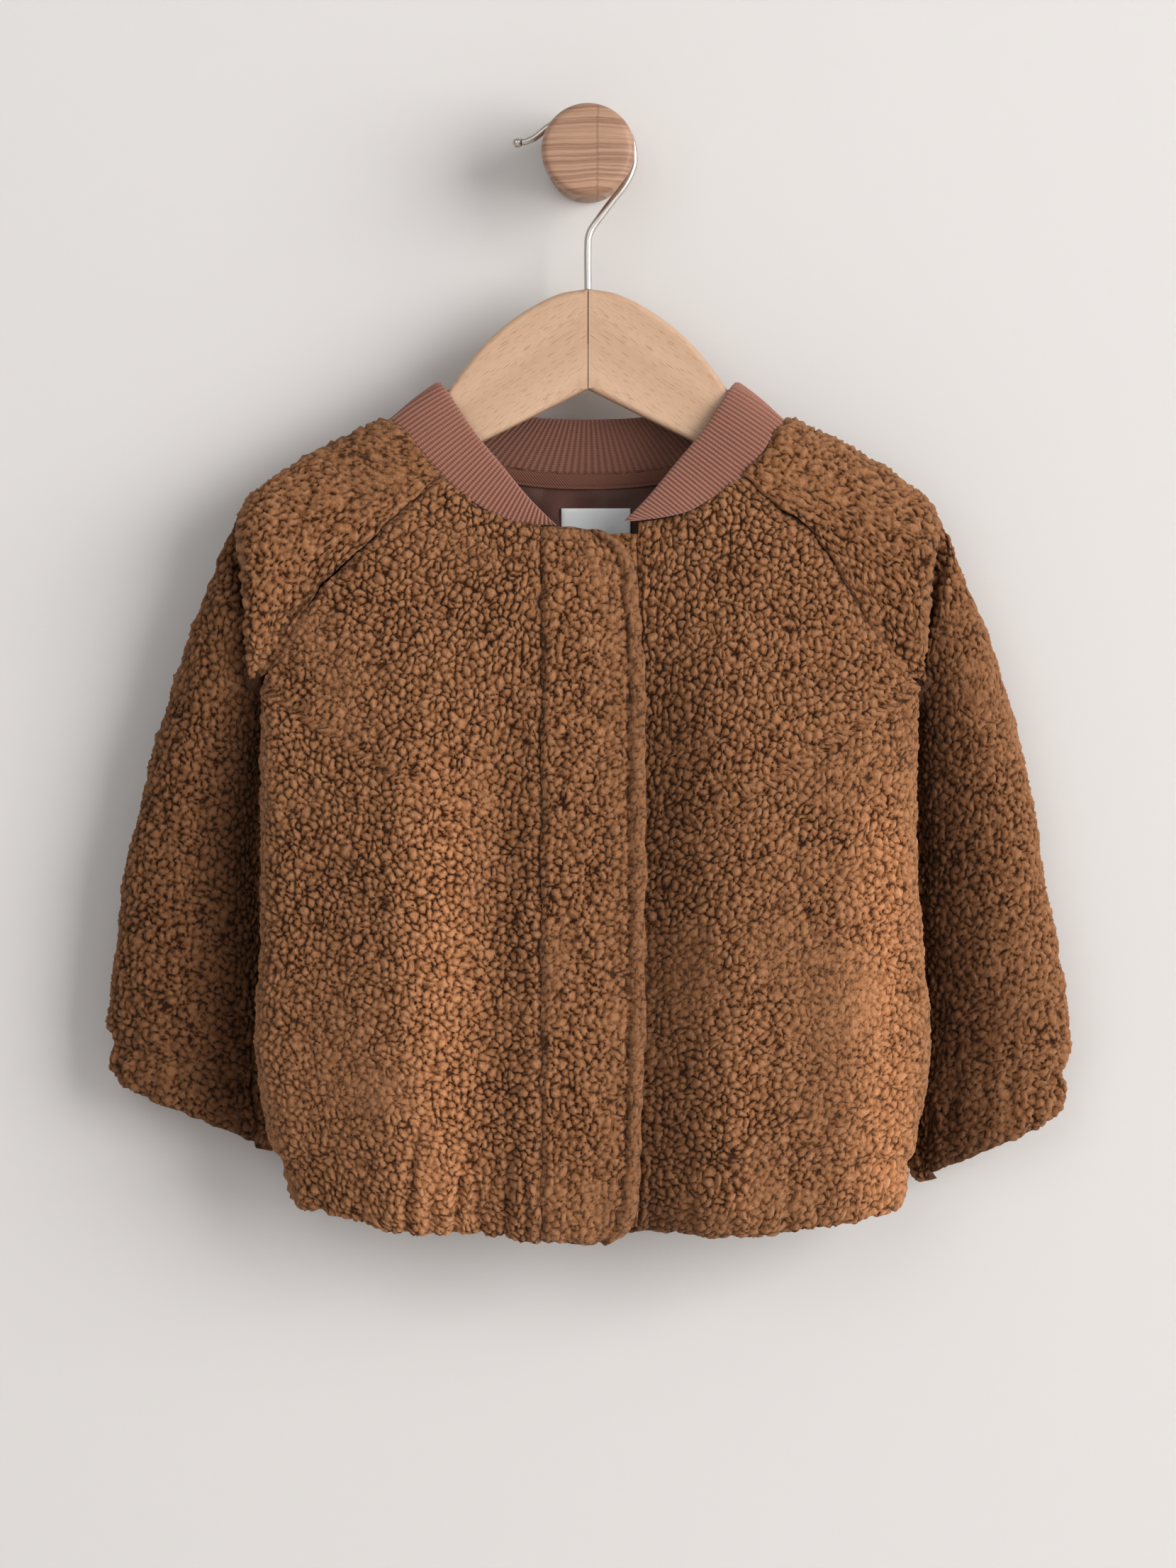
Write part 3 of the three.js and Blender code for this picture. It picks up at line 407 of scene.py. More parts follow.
def panel_rows(low_count, high_count):
    """The rows of a panel, low_count of them below the armpit."""
    low = np.linspace(0, ARMPIT_SHARE, low_count + 1)
    high = np.linspace(ARMPIT_SHARE, 1, high_count + 1)
    return np.concatenate([low, high[1:]])


def front_shape(side):
    """A front's flat shape, from its band's seam (u = 0) to its side, as (station, z)."""
    seam_x = PLACKET_SEAM_X - SEWN_GAP / 2 if side < 0 else RIGHT_SEAM_X
    neck = line(NECKLINE[side])
    start = share_where(neck, abs(seam_x))
    end = share_where(neck, FRONT_SEAM[side][0][0])

    def neck_at(u):
        p = neck(mix(start, end, np.asarray(u, float)))
        return side * p[..., 0], p[..., 1] - SEAM_GAP / 2

    def band_seam(v):
        z = mix(HEM_Z, neck_at(0.0)[1], np.asarray(v, float))
        return pair(station_at(seam_x, z), z)

    sides = side_border(side, False)
    corner = sides(0.0)

    def bottom(u):
        station = mix(band_seam(0.0)[0], corner[0], np.asarray(u, float))
        return pair(station, hem_z(station))

    def top(u):
        x, z = neck_at(u)
        return pair(station_at(x, z), z)

    return patch(bottom, top, band_seam, sides)


def back_shape():
    """The back's flat shape, from its right side to its left, as (station, z)."""
    first, second = side_border(1, True), side_border(-1, True)
    neck_out = BACK_SEAM[0][0]

    def bottom(u):
        station = mix(first(0.0)[0], second(0.0)[0], np.asarray(u, float))
        return pair(station, hem_z(station))

    def top(u):
        x = mix(neck_out, -neck_out, np.asarray(u, float))
        z = back_neck_z(x) - SEAM_GAP / 2
        return pair(station_at(x, z, True), z)

    return patch(bottom, top, first, second)


def normals(grid, closed=False):
    """Unit normals of a grid of points, rows first. A closed grid's last column repeats its first."""
    if closed:
        wide = np.concatenate([grid[:, -2:-1], grid, grid[:, 1:2]], axis=1)
        across = np.gradient(wide, axis=1)[:, 1:-1]
    else:
        across = np.gradient(grid, axis=1)
    out = np.cross(across, np.gradient(grid, axis=0))
    return out / np.maximum(np.linalg.norm(out, axis=-1, keepdims=True), 1e-9)


def hashed(cell, salt):
    """A number from 0 to 1 for each cell of a grid, given by its whole numbers."""
    n = (cell.astype(np.int64) * CELL_PRIMES[: cell.shape[-1]]).sum(axis=-1) + salt * 974634777
    n &= 0xFFFFFFFF
    n = ((n ^ (n >> 13)) * 1274126177) & 0xFFFFFFFF
    n = ((n ^ (n >> 16)) * 2246822519) & 0xFFFFFFFF
    return (n ^ (n >> 15)) / 0xFFFFFFFF


def wander(place, size, salt):
    """Smooth noise from -1 to 1 over cells of a size, in as many directions as place has."""
    cell = np.floor(place / size)
    share = place / size - cell
    share = share * share * (3 - 2 * share)
    total = 0
    for corner in product((0, 1), repeat=place.shape[-1]):
        weight = np.prod(np.where(np.array(corner, bool), share, 1 - share), axis=-1)
        total = total + weight * hashed(cell + corner, salt)
    return 2 * total - 1


def drift(place, size, salt):
    """Smooth noise as a direction in space."""
    return np.stack([wander(place, size, salt + k) for k in range(3)], axis=-1)


def nubs(flat, size, salt):
    """Curled nubs of pile over the flat cloth: how high each point stands in its nub (0..1), and its nub's own
    number."""
    at = flat @ TURN / size
    for first, (reach, length) in zip((0, 2), NUB_WARPS):
        at = at + reach * np.stack([wander(at, length, salt + first + k) for k in (0, 1)], axis=-1)
    low = np.floor(at)
    best = np.full(at.shape[:-1], 1e9)
    second = best.copy()
    own = np.zeros(best.shape)
    for step in product((-1, 0, 1), repeat=2):
        cell = low + step
        # Every other row lies half a cell across, as close-packed nubs do.
        middle = cell + 0.5 + NUB_JITTER * np.stack([hashed(cell, salt + k) - 0.5 for k in (4, 5)], axis=-1)
        middle[..., 0] += 0.5 * (cell[..., 1] % 2) - 0.25
        number = hashed(cell, salt + 7)
        far = np.linalg.norm(at - middle, axis=-1) - NUB_REACH * number
        closer = far < best
        second = np.where(closer, best, np.minimum(second, far))
        own = np.where(closer, number, own)
        best = np.minimum(best, far)
    edge = np.clip((second - best) / NUB_CREVICE, 0, 1)
    dome = 1 - np.clip((best + 0.1) / NUB_RADIUS, 0, 1) ** 2
    return 0.5 * (1 - (1 - edge) ** 2) + 0.5 * dome * np.clip(3 * edge, 0, 1), own


def new_mesh(name, points, faces, attributes=None, smooth=True):
    """A mesh object from points in millimetres and lists of faces, each an array with one row a face.
    Faces with more than four corners stay flat."""
    mesh = bpy.data.meshes.new(name)
    points = np.asarray(points, float) * MM
    mesh.vertices.add(len(points))
    mesh.vertices.foreach_set("co", points.ravel())
    faces = [np.asarray(f, int) for f in faces if len(f)]
    corners = np.concatenate([f.ravel() for f in faces])
    sizes = np.concatenate([np.full(len(f), f.shape[1]) for f in faces])
    mesh.loops.add(len(corners))
    mesh.loops.foreach_set("vertex_index", corners)
    mesh.polygons.add(len(sizes))
    mesh.polygons.foreach_set("loop_start", np.concatenate([[0], np.cumsum(sizes)[:-1]]))
    mesh.polygons.foreach_set("use_smooth", smooth & (sizes <= 4))
    mesh.update(calc_edges=True)
    for key, values in (attributes or {}).items():
        mesh.attributes.new(key, "FLOAT", "POINT").data.foreach_set("value", np.asarray(values, float).ravel())
    mesh.validate()
    item = bpy.data.objects.new(name, mesh)
    bpy.context.scene.collection.objects.link(item)
    return item


def quads(index):
    """Faces between neighbours in a grid of point numbers, with their outside where columns x rows points."""
    a, b = index[:-1, :-1], index[:-1, 1:]
    c, d = index[1:, 1:], index[1:, :-1]
    return np.stack([a, b, c, d], axis=-1).reshape(-1, 4)


def rim(outer, inner, turn):
    """Triangles between the outer skin's fine border and the inner skin's coarse one."""
    faces = []
    half = COARSER // 2
    for k in range(len(inner) - 1):
        fine = outer[k * COARSER : (k + 1) * COARSER + 1]
        for i in range(COARSER):
            faces.append([inner[k] if i < half else inner[k + 1], fine[i + 1], fine[i]])
        faces.append([inner[k], inner[k + 1], fine[half]])
    faces = np.array(faces)
    return faces[:, ::-1] if turn else faces


def wall(name, outer, inner, marks, closed=False):
    """One closed wall of cloth from a fine outer grid and a coarse inner one, joined along their borders."""
    rows, columns = outer.shape[:2]
    if closed:
        o = np.arange(rows * (columns - 1)).reshape(rows, columns - 1)
        o = np.concatenate([o, o[:, :1]], axis=1)
        n = np.arange(inner.shape[0] * (inner.shape[1] - 1)).reshape(inner.shape[0], -1) + rows * (columns - 1)
        n = np.concatenate([n, n[:, :1]], axis=1)
        points = np.concatenate([outer[:, :-1].reshape(-1, 3), inner[:, :-1].reshape(-1, 3)])
        marks = {key: value[:, :-1] for key, value in marks.items()}
    else:
        o = np.arange(rows * columns).reshape(rows, columns)
        n = np.arange(inner.shape[0] * inner.shape[1]).reshape(inner.shape[:2]) + rows * columns
        points = np.concatenate([outer.reshape(-1, 3), inner.reshape(-1, 3)])
    faces = [quads(o), quads(n)[:, ::-1], rim(o[0], n[0], False), rim(o[-1], n[-1], True)]
    if not closed:
        faces += [rim(o[:, 0], n[:, 0], True), rim(o[:, -1], n[:, -1], False)]
    triangles = np.concatenate(faces[2:])
    fine_count = o.max() + 1
    inside_count = len(points) - fine_count
    # The cloth's cut edge shows the fleece, and only what lies inside it the lining's colour.
    attributes = {key: np.concatenate([value.ravel(), np.full(inside_count, 0.5)]) for key, value in marks.items()}
    lined = np.ones(inner.shape[:2])
    lined[[0, -1]] = 0
    if closed:
        lined = lined[:, :-1]
    else:
        lined[:, [0, -1]] = 0
    attributes["inside"] = np.concatenate([np.zeros(fine_count), lined.ravel()])
    return new_mesh(name, points, [faces[0], faces[1], triangles], attributes)


def spread(grid):
    """For a grid of points, each one's distance along its row and along its column."""
    along_row = np.cumsum(np.linalg.norm(np.diff(grid, axis=1, prepend=grid[:, :1]), axis=-1), axis=1)
    along_column = np.cumsum(np.linalg.norm(np.diff(grid, axis=0, prepend=grid[:1]), axis=-1), axis=0)
    return along_row, along_column


def turned(side, *grids):
    """Grids with their columns the other way round for the left side, so that its faces look out too."""
    return [grid[:, ::-1] if side < 0 else grid for grid in grids]


def grid_counts(counts):
    """The full one of a pair of counts."""
    return counts[1]


def laid_out(shape, columns, rows):
    """A grid over a flat shape: its places on the body, its points, and how far each lies along its row and its
    column."""
    u, v = np.meshgrid(np.linspace(0, 1, columns + 1), rows)
    place = shape(u, v)
    base = body_point(place[..., 0], place[..., 1])
    return place, base, *spread(base)


def fleece_wall(name, settings, base, salt, relief, soft, seam, flat, closed=False, depth=FLEECE,
                shade=0.0):
    """A fleece piece over a grid of its face, with its nubs. relief moves the face out in millimetres, soft is
    how much the pile is brushed flat, seam is how near each point is to a seam, flat is its place on the cloth
    laid flat, and shade is painted shade: how much darker the pile is painted there, or lighter below nought as
    painted light."""
    out = normals(base, closed)
    # Every piece sways alike where it meets its neighbour, so that the seams wind a little.
    base = base + SWAY * drift(base @ TILT, SWAY_SIZE, SWAY_SALT)
    size = settings.nub_size / MM
    slanted = base @ TILT
    high, own = nubs(flat, size, salt)
    small, _ = nubs(flat, CURL_SIZE * size, salt + 9)
    large_patch, small_patch = [wander(slanted, length, salt + 20 + k) for k, length in enumerate(PATCH_SIZES)]
    soft = np.clip(soft + 0.6 * step_up(large_patch + 0.6 * small_patch, 0.05, 0.9), 0, 1)
    pile = mix(high, 0.45 * high + 0.55 * small, 0.25 + 0.5 * soft)
    reach = settings.nub_height / MM * mix(1, 0.45, soft) * mix(1, 0.8, seam) * (0.75 + 0.5 * own)
    shaggy = SHAG * wander(slanted, SHAG_SIZE, salt + 30)
    outer = base + out * (relief + reach * (pile - PILE_LEVEL) + shaggy * mix(1, 0.5, soft))[..., None]
    inner = (base + out * (np.minimum(relief, 0) - depth)[..., None])[::COARSER, ::COARSER]
    marks = {"nub": pile, "tone": own, "soft": soft, "seam": seam, "shade": shade + 0 * soft}
    return wall(name, outer, inner, marks, closed)


class Value:
    """A node's output socket that takes part in Python sums; each operator adds a Math node."""

    def __init__(self, shade, socket):
        self.shade = shade
        self.socket = socket

    def _math(self, operation, first, second=0.0):
        return self.shade.node("ShaderNodeMath", {"operation": operation}, {0: first, 1: second})

    def __add__(self, other):
        return self._math("ADD", self, other)

    __radd__ = __add__

    def __mul__(self, other):
        return self._math("MULTIPLY", self, other)

    __rmul__ = __mul__

    def __sub__(self, other):
        return self._math("SUBTRACT", self, other)

    def __rsub__(self, other):
        return self._math("SUBTRACT", other, self)

    def sine(self):
        return self._math("SINE", self)

    def size(self):
        return self._math("ABSOLUTE", self)

    def between(self, low, high):
        """0 below low, 1 above high, smooth between."""
        return self.shade.node(
            "ShaderNodeMapRange",
            {"interpolation_type": "SMOOTHSTEP"},
            {"Value": self, "From Min": low, "From Max": high},
        )


class Finish:
    """A material under construction, with its Principled shader."""

    def __init__(self, name, **plain):
        self.material = bpy.data.materials.new(name)
        self.material.use_nodes = True
        self.tree = self.material.node_tree
        self.tree.nodes.clear()
        self.output = self.tree.nodes.new("ShaderNodeOutputMaterial")
        self.shader = self.tree.nodes.new("ShaderNodeBsdfPrincipled")
        self.tree.links.new(self.shader.outputs[0], self.output.inputs["Surface"])
        for key, value in plain.items():
            self.set(self.shader, key.replace("_", " ").title().replace("Ior", "IOR"), value)

    def set(self, node, key, value):
        socket = node.inputs[key]
        if isinstance(value, Value):
            self.tree.links.new(value.socket, socket)
        elif hasattr(socket.default_value, "__len__") and not hasattr(value, "__len__"):
            socket.default_value = [value] * 3
        elif hasattr(value, "__len__") and len(value) == 3 and len(socket.default_value) == 4:
            socket.default_value = [*value, 1]
        else:
            socket.default_value = value

    def node(self, kind, settings=None, values=None, out=0):
        """A node of a kind, with its settings made first and then its sockets' values or links."""
        made = self.tree.nodes.new(kind)
        for key, value in (settings or {}).items():
            if key == "stops":
                ramp = made.color_ramp
                while len(ramp.elements) < len(value):
                    ramp.elements.new(0.5)
                for element, (at, colour) in zip(ramp.elements, value):
                    element.position = at
                    element.color = [*colour, 1]
            else:
                setattr(made, key, value)
        for key, value in (values or {}).items():
            self.set(made, key, value)
        return Value(self, made.outputs[out])

    def attribute(self, name):
        return self.node("ShaderNodeAttribute", {"attribute_name": name}, out="Fac")

    def place(self):
        """Object coordinates in metres."""
        return self.node("ShaderNodeTexCoord", out="Object")

    def parts(self, vector):
        """A vector's x, y and z."""
        split = self.node("ShaderNodeSeparateXYZ", None, {"Vector": vector})
        outputs = split.socket.node.outputs
        return [Value(self, outputs[k]) for k in range(3)]

    def vector(self, x=0.0, y=0.0, z=0.0):
        return self.node("ShaderNodeCombineXYZ", None, {0: x, 1: y, 2: z})

    def noise(self, vector, scale, detail=2.0, rough=0.5):
        return self.node(
            "ShaderNodeTexNoise", None, {"Vector": vector, "Scale": scale, "Detail": detail, "Roughness": rough}
        )

    def blend(self, first, second, share, way="MIX"):
        """Between two colours, or with MULTIPLY between a colour and its product with the second."""
        sockets = {"Factor": share, 6: first, 7: second}
        return self.node("ShaderNodeMix", {"data_type": "RGBA", "blend_type": way}, sockets, out=2)

    def ramp(self, value, *stops):
        return self.node("ShaderNodeValToRGB", {"stops": stops}, {"Fac": value})

    def finish(self, colour, rough=None, height=None, depth=0.0005, strength=1.0):
        """Links the colour, and where given the roughness and a height in shares of a depth in metres."""
        self.set(self.shader, "Base Color", colour)
        if rough is not None:
            self.set(self.shader, "Roughness", rough)
        if height is not None:
            bump = self.node("ShaderNodeBump", None, {"Strength": strength, "Distance": depth, "Height": height})
            self.set(self.shader, "Normal", bump)
        return self.material


def fleece_finish(settings):
    f = Finish("curled fleece", roughness=0.95, sheen_weight=0.2, sheen_roughness=0.5, specular_ior_level=0.05,
               sheen_tint=(0.95, 0.66, 0.45))
    place = f.place()
    nub, tone, soft = f.attribute("nub"), f.attribute("tone"), f.attribute("soft")
    fibre = f.noise(place, 1200, 4, 0.8)
    curl = f.node("ShaderNodeTexVoronoi", {"feature": "F1"}, {"Vector": place, "Scale": 560}, out="Distance")
    lump = f.node("ShaderNodeTexVoronoi", {"feature": "F1"}, {"Vector": place, "Scale": 300}, out="Distance")
    broad = f.noise(place, 22, 2)
    height = nub * 1.0 + (tone - 0.5) * 0.26 + (fibre - 0.5) * 1.3 + (broad - 0.5) * 0.3
    height = height - f.attribute("seam") * 0.2 - (curl - 0.45) * 0.35 - (lump - 0.45) * 0.3
    # From dark in the crevices to light at the nubs' tips: partly the pile's own colour, partly painted shade in the
    # crevices.
    colour = f.ramp(
        height,
        (0.13, settings.fleece_dark),
        (0.44, settings.fleece_middle),
        (1.05, settings.fleece_light),
    )
    colour = f.blend(colour, settings.fleece_brushed, soft * 0.5 * fibre.between(0.2, 0.75))
    # Painted shade and painted light: the shade mark multiplies the colour towards fleece_shadow where the pile lies
    # in shade, and below nought multiplies it brighter where it lies towards the light.
    shade = f.attribute("shade")
    colour = f.blend(colour, settings.fleece_shadow, shade, "MULTIPLY")
    colour = f.blend(colour, [2.2, 2.15, 2.1], shade * -1.0, "MULTIPLY")
    colour = f.blend(colour, settings.lining_colour, f.attribute("inside"))
    return f.finish(colour, height=fibre * 0.9 - curl * 0.8 - lump * 0.9, depth=0.0011, strength=0.85)


def rib_finish(settings):
    f = Finish("rib knit", roughness=0.9, sheen_weight=0.3, specular_ior_level=0.2)
    round_band, up = f.attribute("round_band"), f.attribute("up_band")
    rib = f.attribute("rib")
    place = f.place()
    # Knitted loops: slanted one way on one half of each rib and the other way on the other half.
    slant = (round_band - 0.5).size() * 2
    rows = (up * 150 + slant * 3.1).sine()
    fibre = f.noise(place, 1500, 2, 0.6)
    broad = f.noise(place, 60, 2)
    height = rib * 0.9 + rows * 0.1 + (fibre - 0.5) * 0.35 + (broad - 0.5) * 0.25
    colour = f.ramp(height, (0.05, settings.rib_dark), (0.95, settings.rib_light))
    # Painted shade: the band's inner face, seen inside the back of the neck, is painted darker.
    colour = f.blend(colour, [0.35 * c for c in settings.rib_dark], f.attribute("behind") * 0.55)
    return f.finish(colour, height=rows * 0.5 + fibre * 0.6, depth=0.0003, strength=0.7)


def lining_finish(settings):
    f = Finish("jersey lining", roughness=0.4, sheen_weight=0.04, specular_ior_level=0.35)
    place = f.place()
    knit = f.noise(place, 1400, 2)
    broad = f.noise(place, 45, 3)
    colour = f.blend(settings.lining_colour, [1.7 * c for c in settings.lining_colour], broad.between(0.35, 0.75))
    return f.finish(colour, rough=0.42 + broad * 0.25, height=knit, depth=0.0001)


def tape_finish(settings):
    f = Finish("twill tape", roughness=0.85, sheen_weight=0.2, specular_ior_level=0.2)
    x, _, z = f.parts(f.place())
    twill = ((x + z * 0.8) * 5200).sine()
    fibre = f.noise(f.place(), 1200, 2)
    colour = f.blend(settings.tape_colour, [1.6 * c for c in settings.tape_colour], twill * 0.3 + fibre * 0.4)
    return f.finish(colour, height=twill + fibre, depth=0.0001)


def label_finish(settings):
    f = Finish("woven label", roughness=0.6, sheen_weight=0.1)
    x, _, z = f.parts(f.place())
    weave = (x * 9000).sine() * (z * 9000).sine()
    broad = f.noise(f.place(), 90, 2)
    colour = f.blend(settings.label_colour, [0.82 * c for c in settings.label_colour], weave * 0.3 + broad * 0.4)
    return f.finish(colour, rough=0.5 + broad * 0.15, height=weave, depth=0.00006)


def beech_finish(settings):
    f = Finish("varnished beech", roughness=0.45, coat_weight=0.15, coat_roughness=0.35)
    x, y, z = f.parts(f.place())
    # Grain runs along each arm, down and outwards, and mirrors at the mitre.
    out = x.size()
    along = out * 0.8 - z * 0.6
    across = out * 0.6 + z * 0.8
    warp = f.noise(f.vector(along * 6, across * 14, y * 10), 1.0, 2) - 0.5
    bent = across + warp * 0.012
    rings = f.noise(f.vector(along * 5, bent * 95, y * 60), 1.0, 3, 0.55)
    fleck = f.noise(f.vector(along * 170, bent * 2100, y * 700), 1.0, 1.0).between(0.62, 0.7)
    fine = f.noise(f.vector(along * 240, bent * 2600, y * 900), 1.0, 3, 0.7)
    colour = f.ramp(rings, (0.3, settings.beech_dark), (0.65, settings.beech_light))
    colour = f.blend(colour, [0.86 * c for c in settings.beech_dark], fine.between(0.4, 0.75) * 0.6)
    colour = f.blend(colour, settings.fleck_colour, fleck * 0.55)
    return f.finish(colour, rough=0.42 + rings * 0.12, height=fine * 0.6 - fleck, depth=0.00012, strength=0.6)


def peg_finish(settings):
    f = Finish("beech end grain", roughness=0.5, coat_weight=0.1, coat_roughness=0.4)
    x, y, z = f.parts(f.place())
    wave = f.noise(f.vector(x * 30, y * 3, z * 26), 1.0, 2) - 0.5
    jag = f.noise(f.vector(x * 60, y * 3, z * 420), 1.0, 2) - 0.5
    bent = z + wave * 0.005 + (x - 0.0042).size() * 0.06
    bands = f.noise(f.vector(x * 9, y * 3, bent * 560), 1.0, 2, 0.6).between(0.36, 0.62)
    fine = f.noise(f.vector(x * 300, y * 20, bent * 2600), 1.0, 3, 0.7)
    ray = 1 - (x - 0.0042 + jag * 0.0016).size().between(0.0002, 0.0007)
    colour = f.ramp(bands * 0.6 + fine * 0.5, (0.2, settings.peg_dark), (0.85, settings.peg_light))
    colour = f.blend(colour, [0.78 * c for c in settings.peg_dark], ray * 0.5)
    return f.finish(colour, rough=0.45 + fine * 0.15, height=fine, depth=0.00012, strength=0.5)


def wire_finish(settings):
    f = Finish("satin nickel", metallic=1.0, roughness=0.3)
    x, y, z = f.parts(f.place())
    drawn = f.noise(f.vector(x * 900, y * 900, z * 120), 1.0, 2)
    colour = f.blend(settings.wire_colour, [0.8 * c for c in settings.wire_colour], drawn)
    return f.finish(colour, rough=0.24 + drawn * 0.14, height=drawn, depth=0.00003, strength=0.4)


class JacketSizes(PropertyGroup):
    """Sizes and colours of the jacket's cloth."""

    nub_size: FloatProperty(name="Nub size", description="Width of one curled nub of the pile", default=0.0035,
                            unit="LENGTH")
    nub_height: FloatProperty(name="Nub height", description="How far a nub stands above the crevices round it",
                              default=0.0025, unit="LENGTH")
    fleece_light: FloatVectorProperty(name="Fleece tips", description="Colour of the pile's tips",
                                      default=(0.46, 0.215, 0.10), subtype="COLOR")
    fleece_middle: FloatVectorProperty(name="Fleece", description="Colour of the pile", default=(0.27, 0.11, 0.043),
                                       subtype="COLOR")
    # The roots' colour is partly the pile's own and partly painted shade in the crevices.
    fleece_dark: FloatVectorProperty(name="Fleece roots", description="Colour deep in the pile",
                                     default=(0.035, 0.009, 0.0025), subtype="COLOR")
    fleece_shadow: FloatVectorProperty(name="Shaded fleece", description="What the pile keeps where it lies in shade",
                                       default=(0.17, 0.12, 0.09), subtype="COLOR")
    fleece_brushed: FloatVectorProperty(name="Brushed fleece", description="Colour where the pile is brushed flat",
                                        default=(0.38, 0.185, 0.093), subtype="COLOR")
    ribs: IntProperty(name="Ribs", description="Ribs round the neckband", default=170)
    rib_height: FloatProperty(name="Rib height", description="How far a rib stands out", default=0.0004,
                              unit="LENGTH")
    rib_light: FloatVectorProperty(name="Rib", description="Colour of the rib knit", default=(0.40, 0.175, 0.12),
                                   subtype="COLOR")
    rib_dark: FloatVectorProperty(name="Rib grooves", description="Colour between the ribs",
                                  default=(0.24, 0.095, 0.062), subtype="COLOR")
    lining_colour: FloatVectorProperty(name="Lining", description="Colour of the lining",
                                       default=(0.052, 0.016, 0.009), subtype="COLOR")
    tape_colour: FloatVectorProperty(name="Tape", description="Colour of the neck tape", default=(0.13, 0.05, 0.032),
                                     subtype="COLOR")
    label_colour: FloatVectorProperty(name="Label", description="Colour of the blank label",
                                      default=(0.80, 0.83, 0.83), subtype="COLOR")


class HangerSizes(PropertyGroup):
    """Colours of the hanger, its hook and the peg, and the edge of the wood."""

    edge: FloatProperty(name="Edge", description="Radius of the hanger's edges", default=0.0024, unit="LENGTH")
    beech_light: FloatVectorProperty(name="Beech", description="Pale growth of the hanger's wood",
                                     default=(0.62, 0.405, 0.265), subtype="COLOR")
    beech_dark: FloatVectorProperty(name="Beech grain", description="Darker growth of the hanger's wood",
                                    default=(0.53, 0.325, 0.20), subtype="COLOR")
    fleck_colour: FloatVectorProperty(name="Flecks", description="Short flecks along the hanger's grain",
                                      default=(0.36, 0.185, 0.10), subtype="COLOR")
    peg_light: FloatVectorProperty(name="Peg", description="Pale growth of the peg's end", default=(0.45, 0.26, 0.165),
                                   subtype="COLOR")
    peg_dark: FloatVectorProperty(name="Peg rings", description="Growth lines of the peg's end",
                                  default=(0.26, 0.13, 0.075), subtype="COLOR")
    wire_colour: FloatVectorProperty(name="Wire", description="Colour of the hook's wire", default=(0.66, 0.62, 0.57),
                                     subtype="COLOR")


class StageSizes(PropertyGroup):
    """Camera, wall and lights."""

    camera_distance: FloatProperty(name="Camera distance", description="From the camera to the wall", default=2.445,
                                   unit="LENGTH")
    camera_height: FloatProperty(name="Camera height", description="Height of the camera from the peg's middle",
                                 default=-0.2794, unit="LENGTH")
    lens: FloatProperty(name="Lens", description="Focal length, in millimetres", default=125.0)
    wall_colour: FloatVectorProperty(name="Wall", description="Colour of the wall", default=(0.695, 0.675, 0.66),
                                     subtype="COLOR")
    floor_colour: FloatVectorProperty(name="Floor", description="Colour of the floor", default=(0.72, 0.70, 0.68),
                                      subtype="COLOR")
    key: FloatProperty(name="Key light", description="Power of the large soft light on the right, in watts",
                       default=288.0)
    fill: FloatProperty(name="Fill light", description="Power of the soft light on the left, in watts", default=14.0)
    sky: FloatProperty(name="Sky", description="Strength of the even light from all sides", default=0.33)


def declare(piece):
    """Attaches a piece to the root body and hides the CAD part that it stands for."""
    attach(piece, "root")
    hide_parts(piece.name.removesuffix("_look"))


def dress(piece, material):
    piece.data.materials.clear()
    piece.data.materials.append(material)


def side_name(side):
    return "left" if side < 0 else "right"


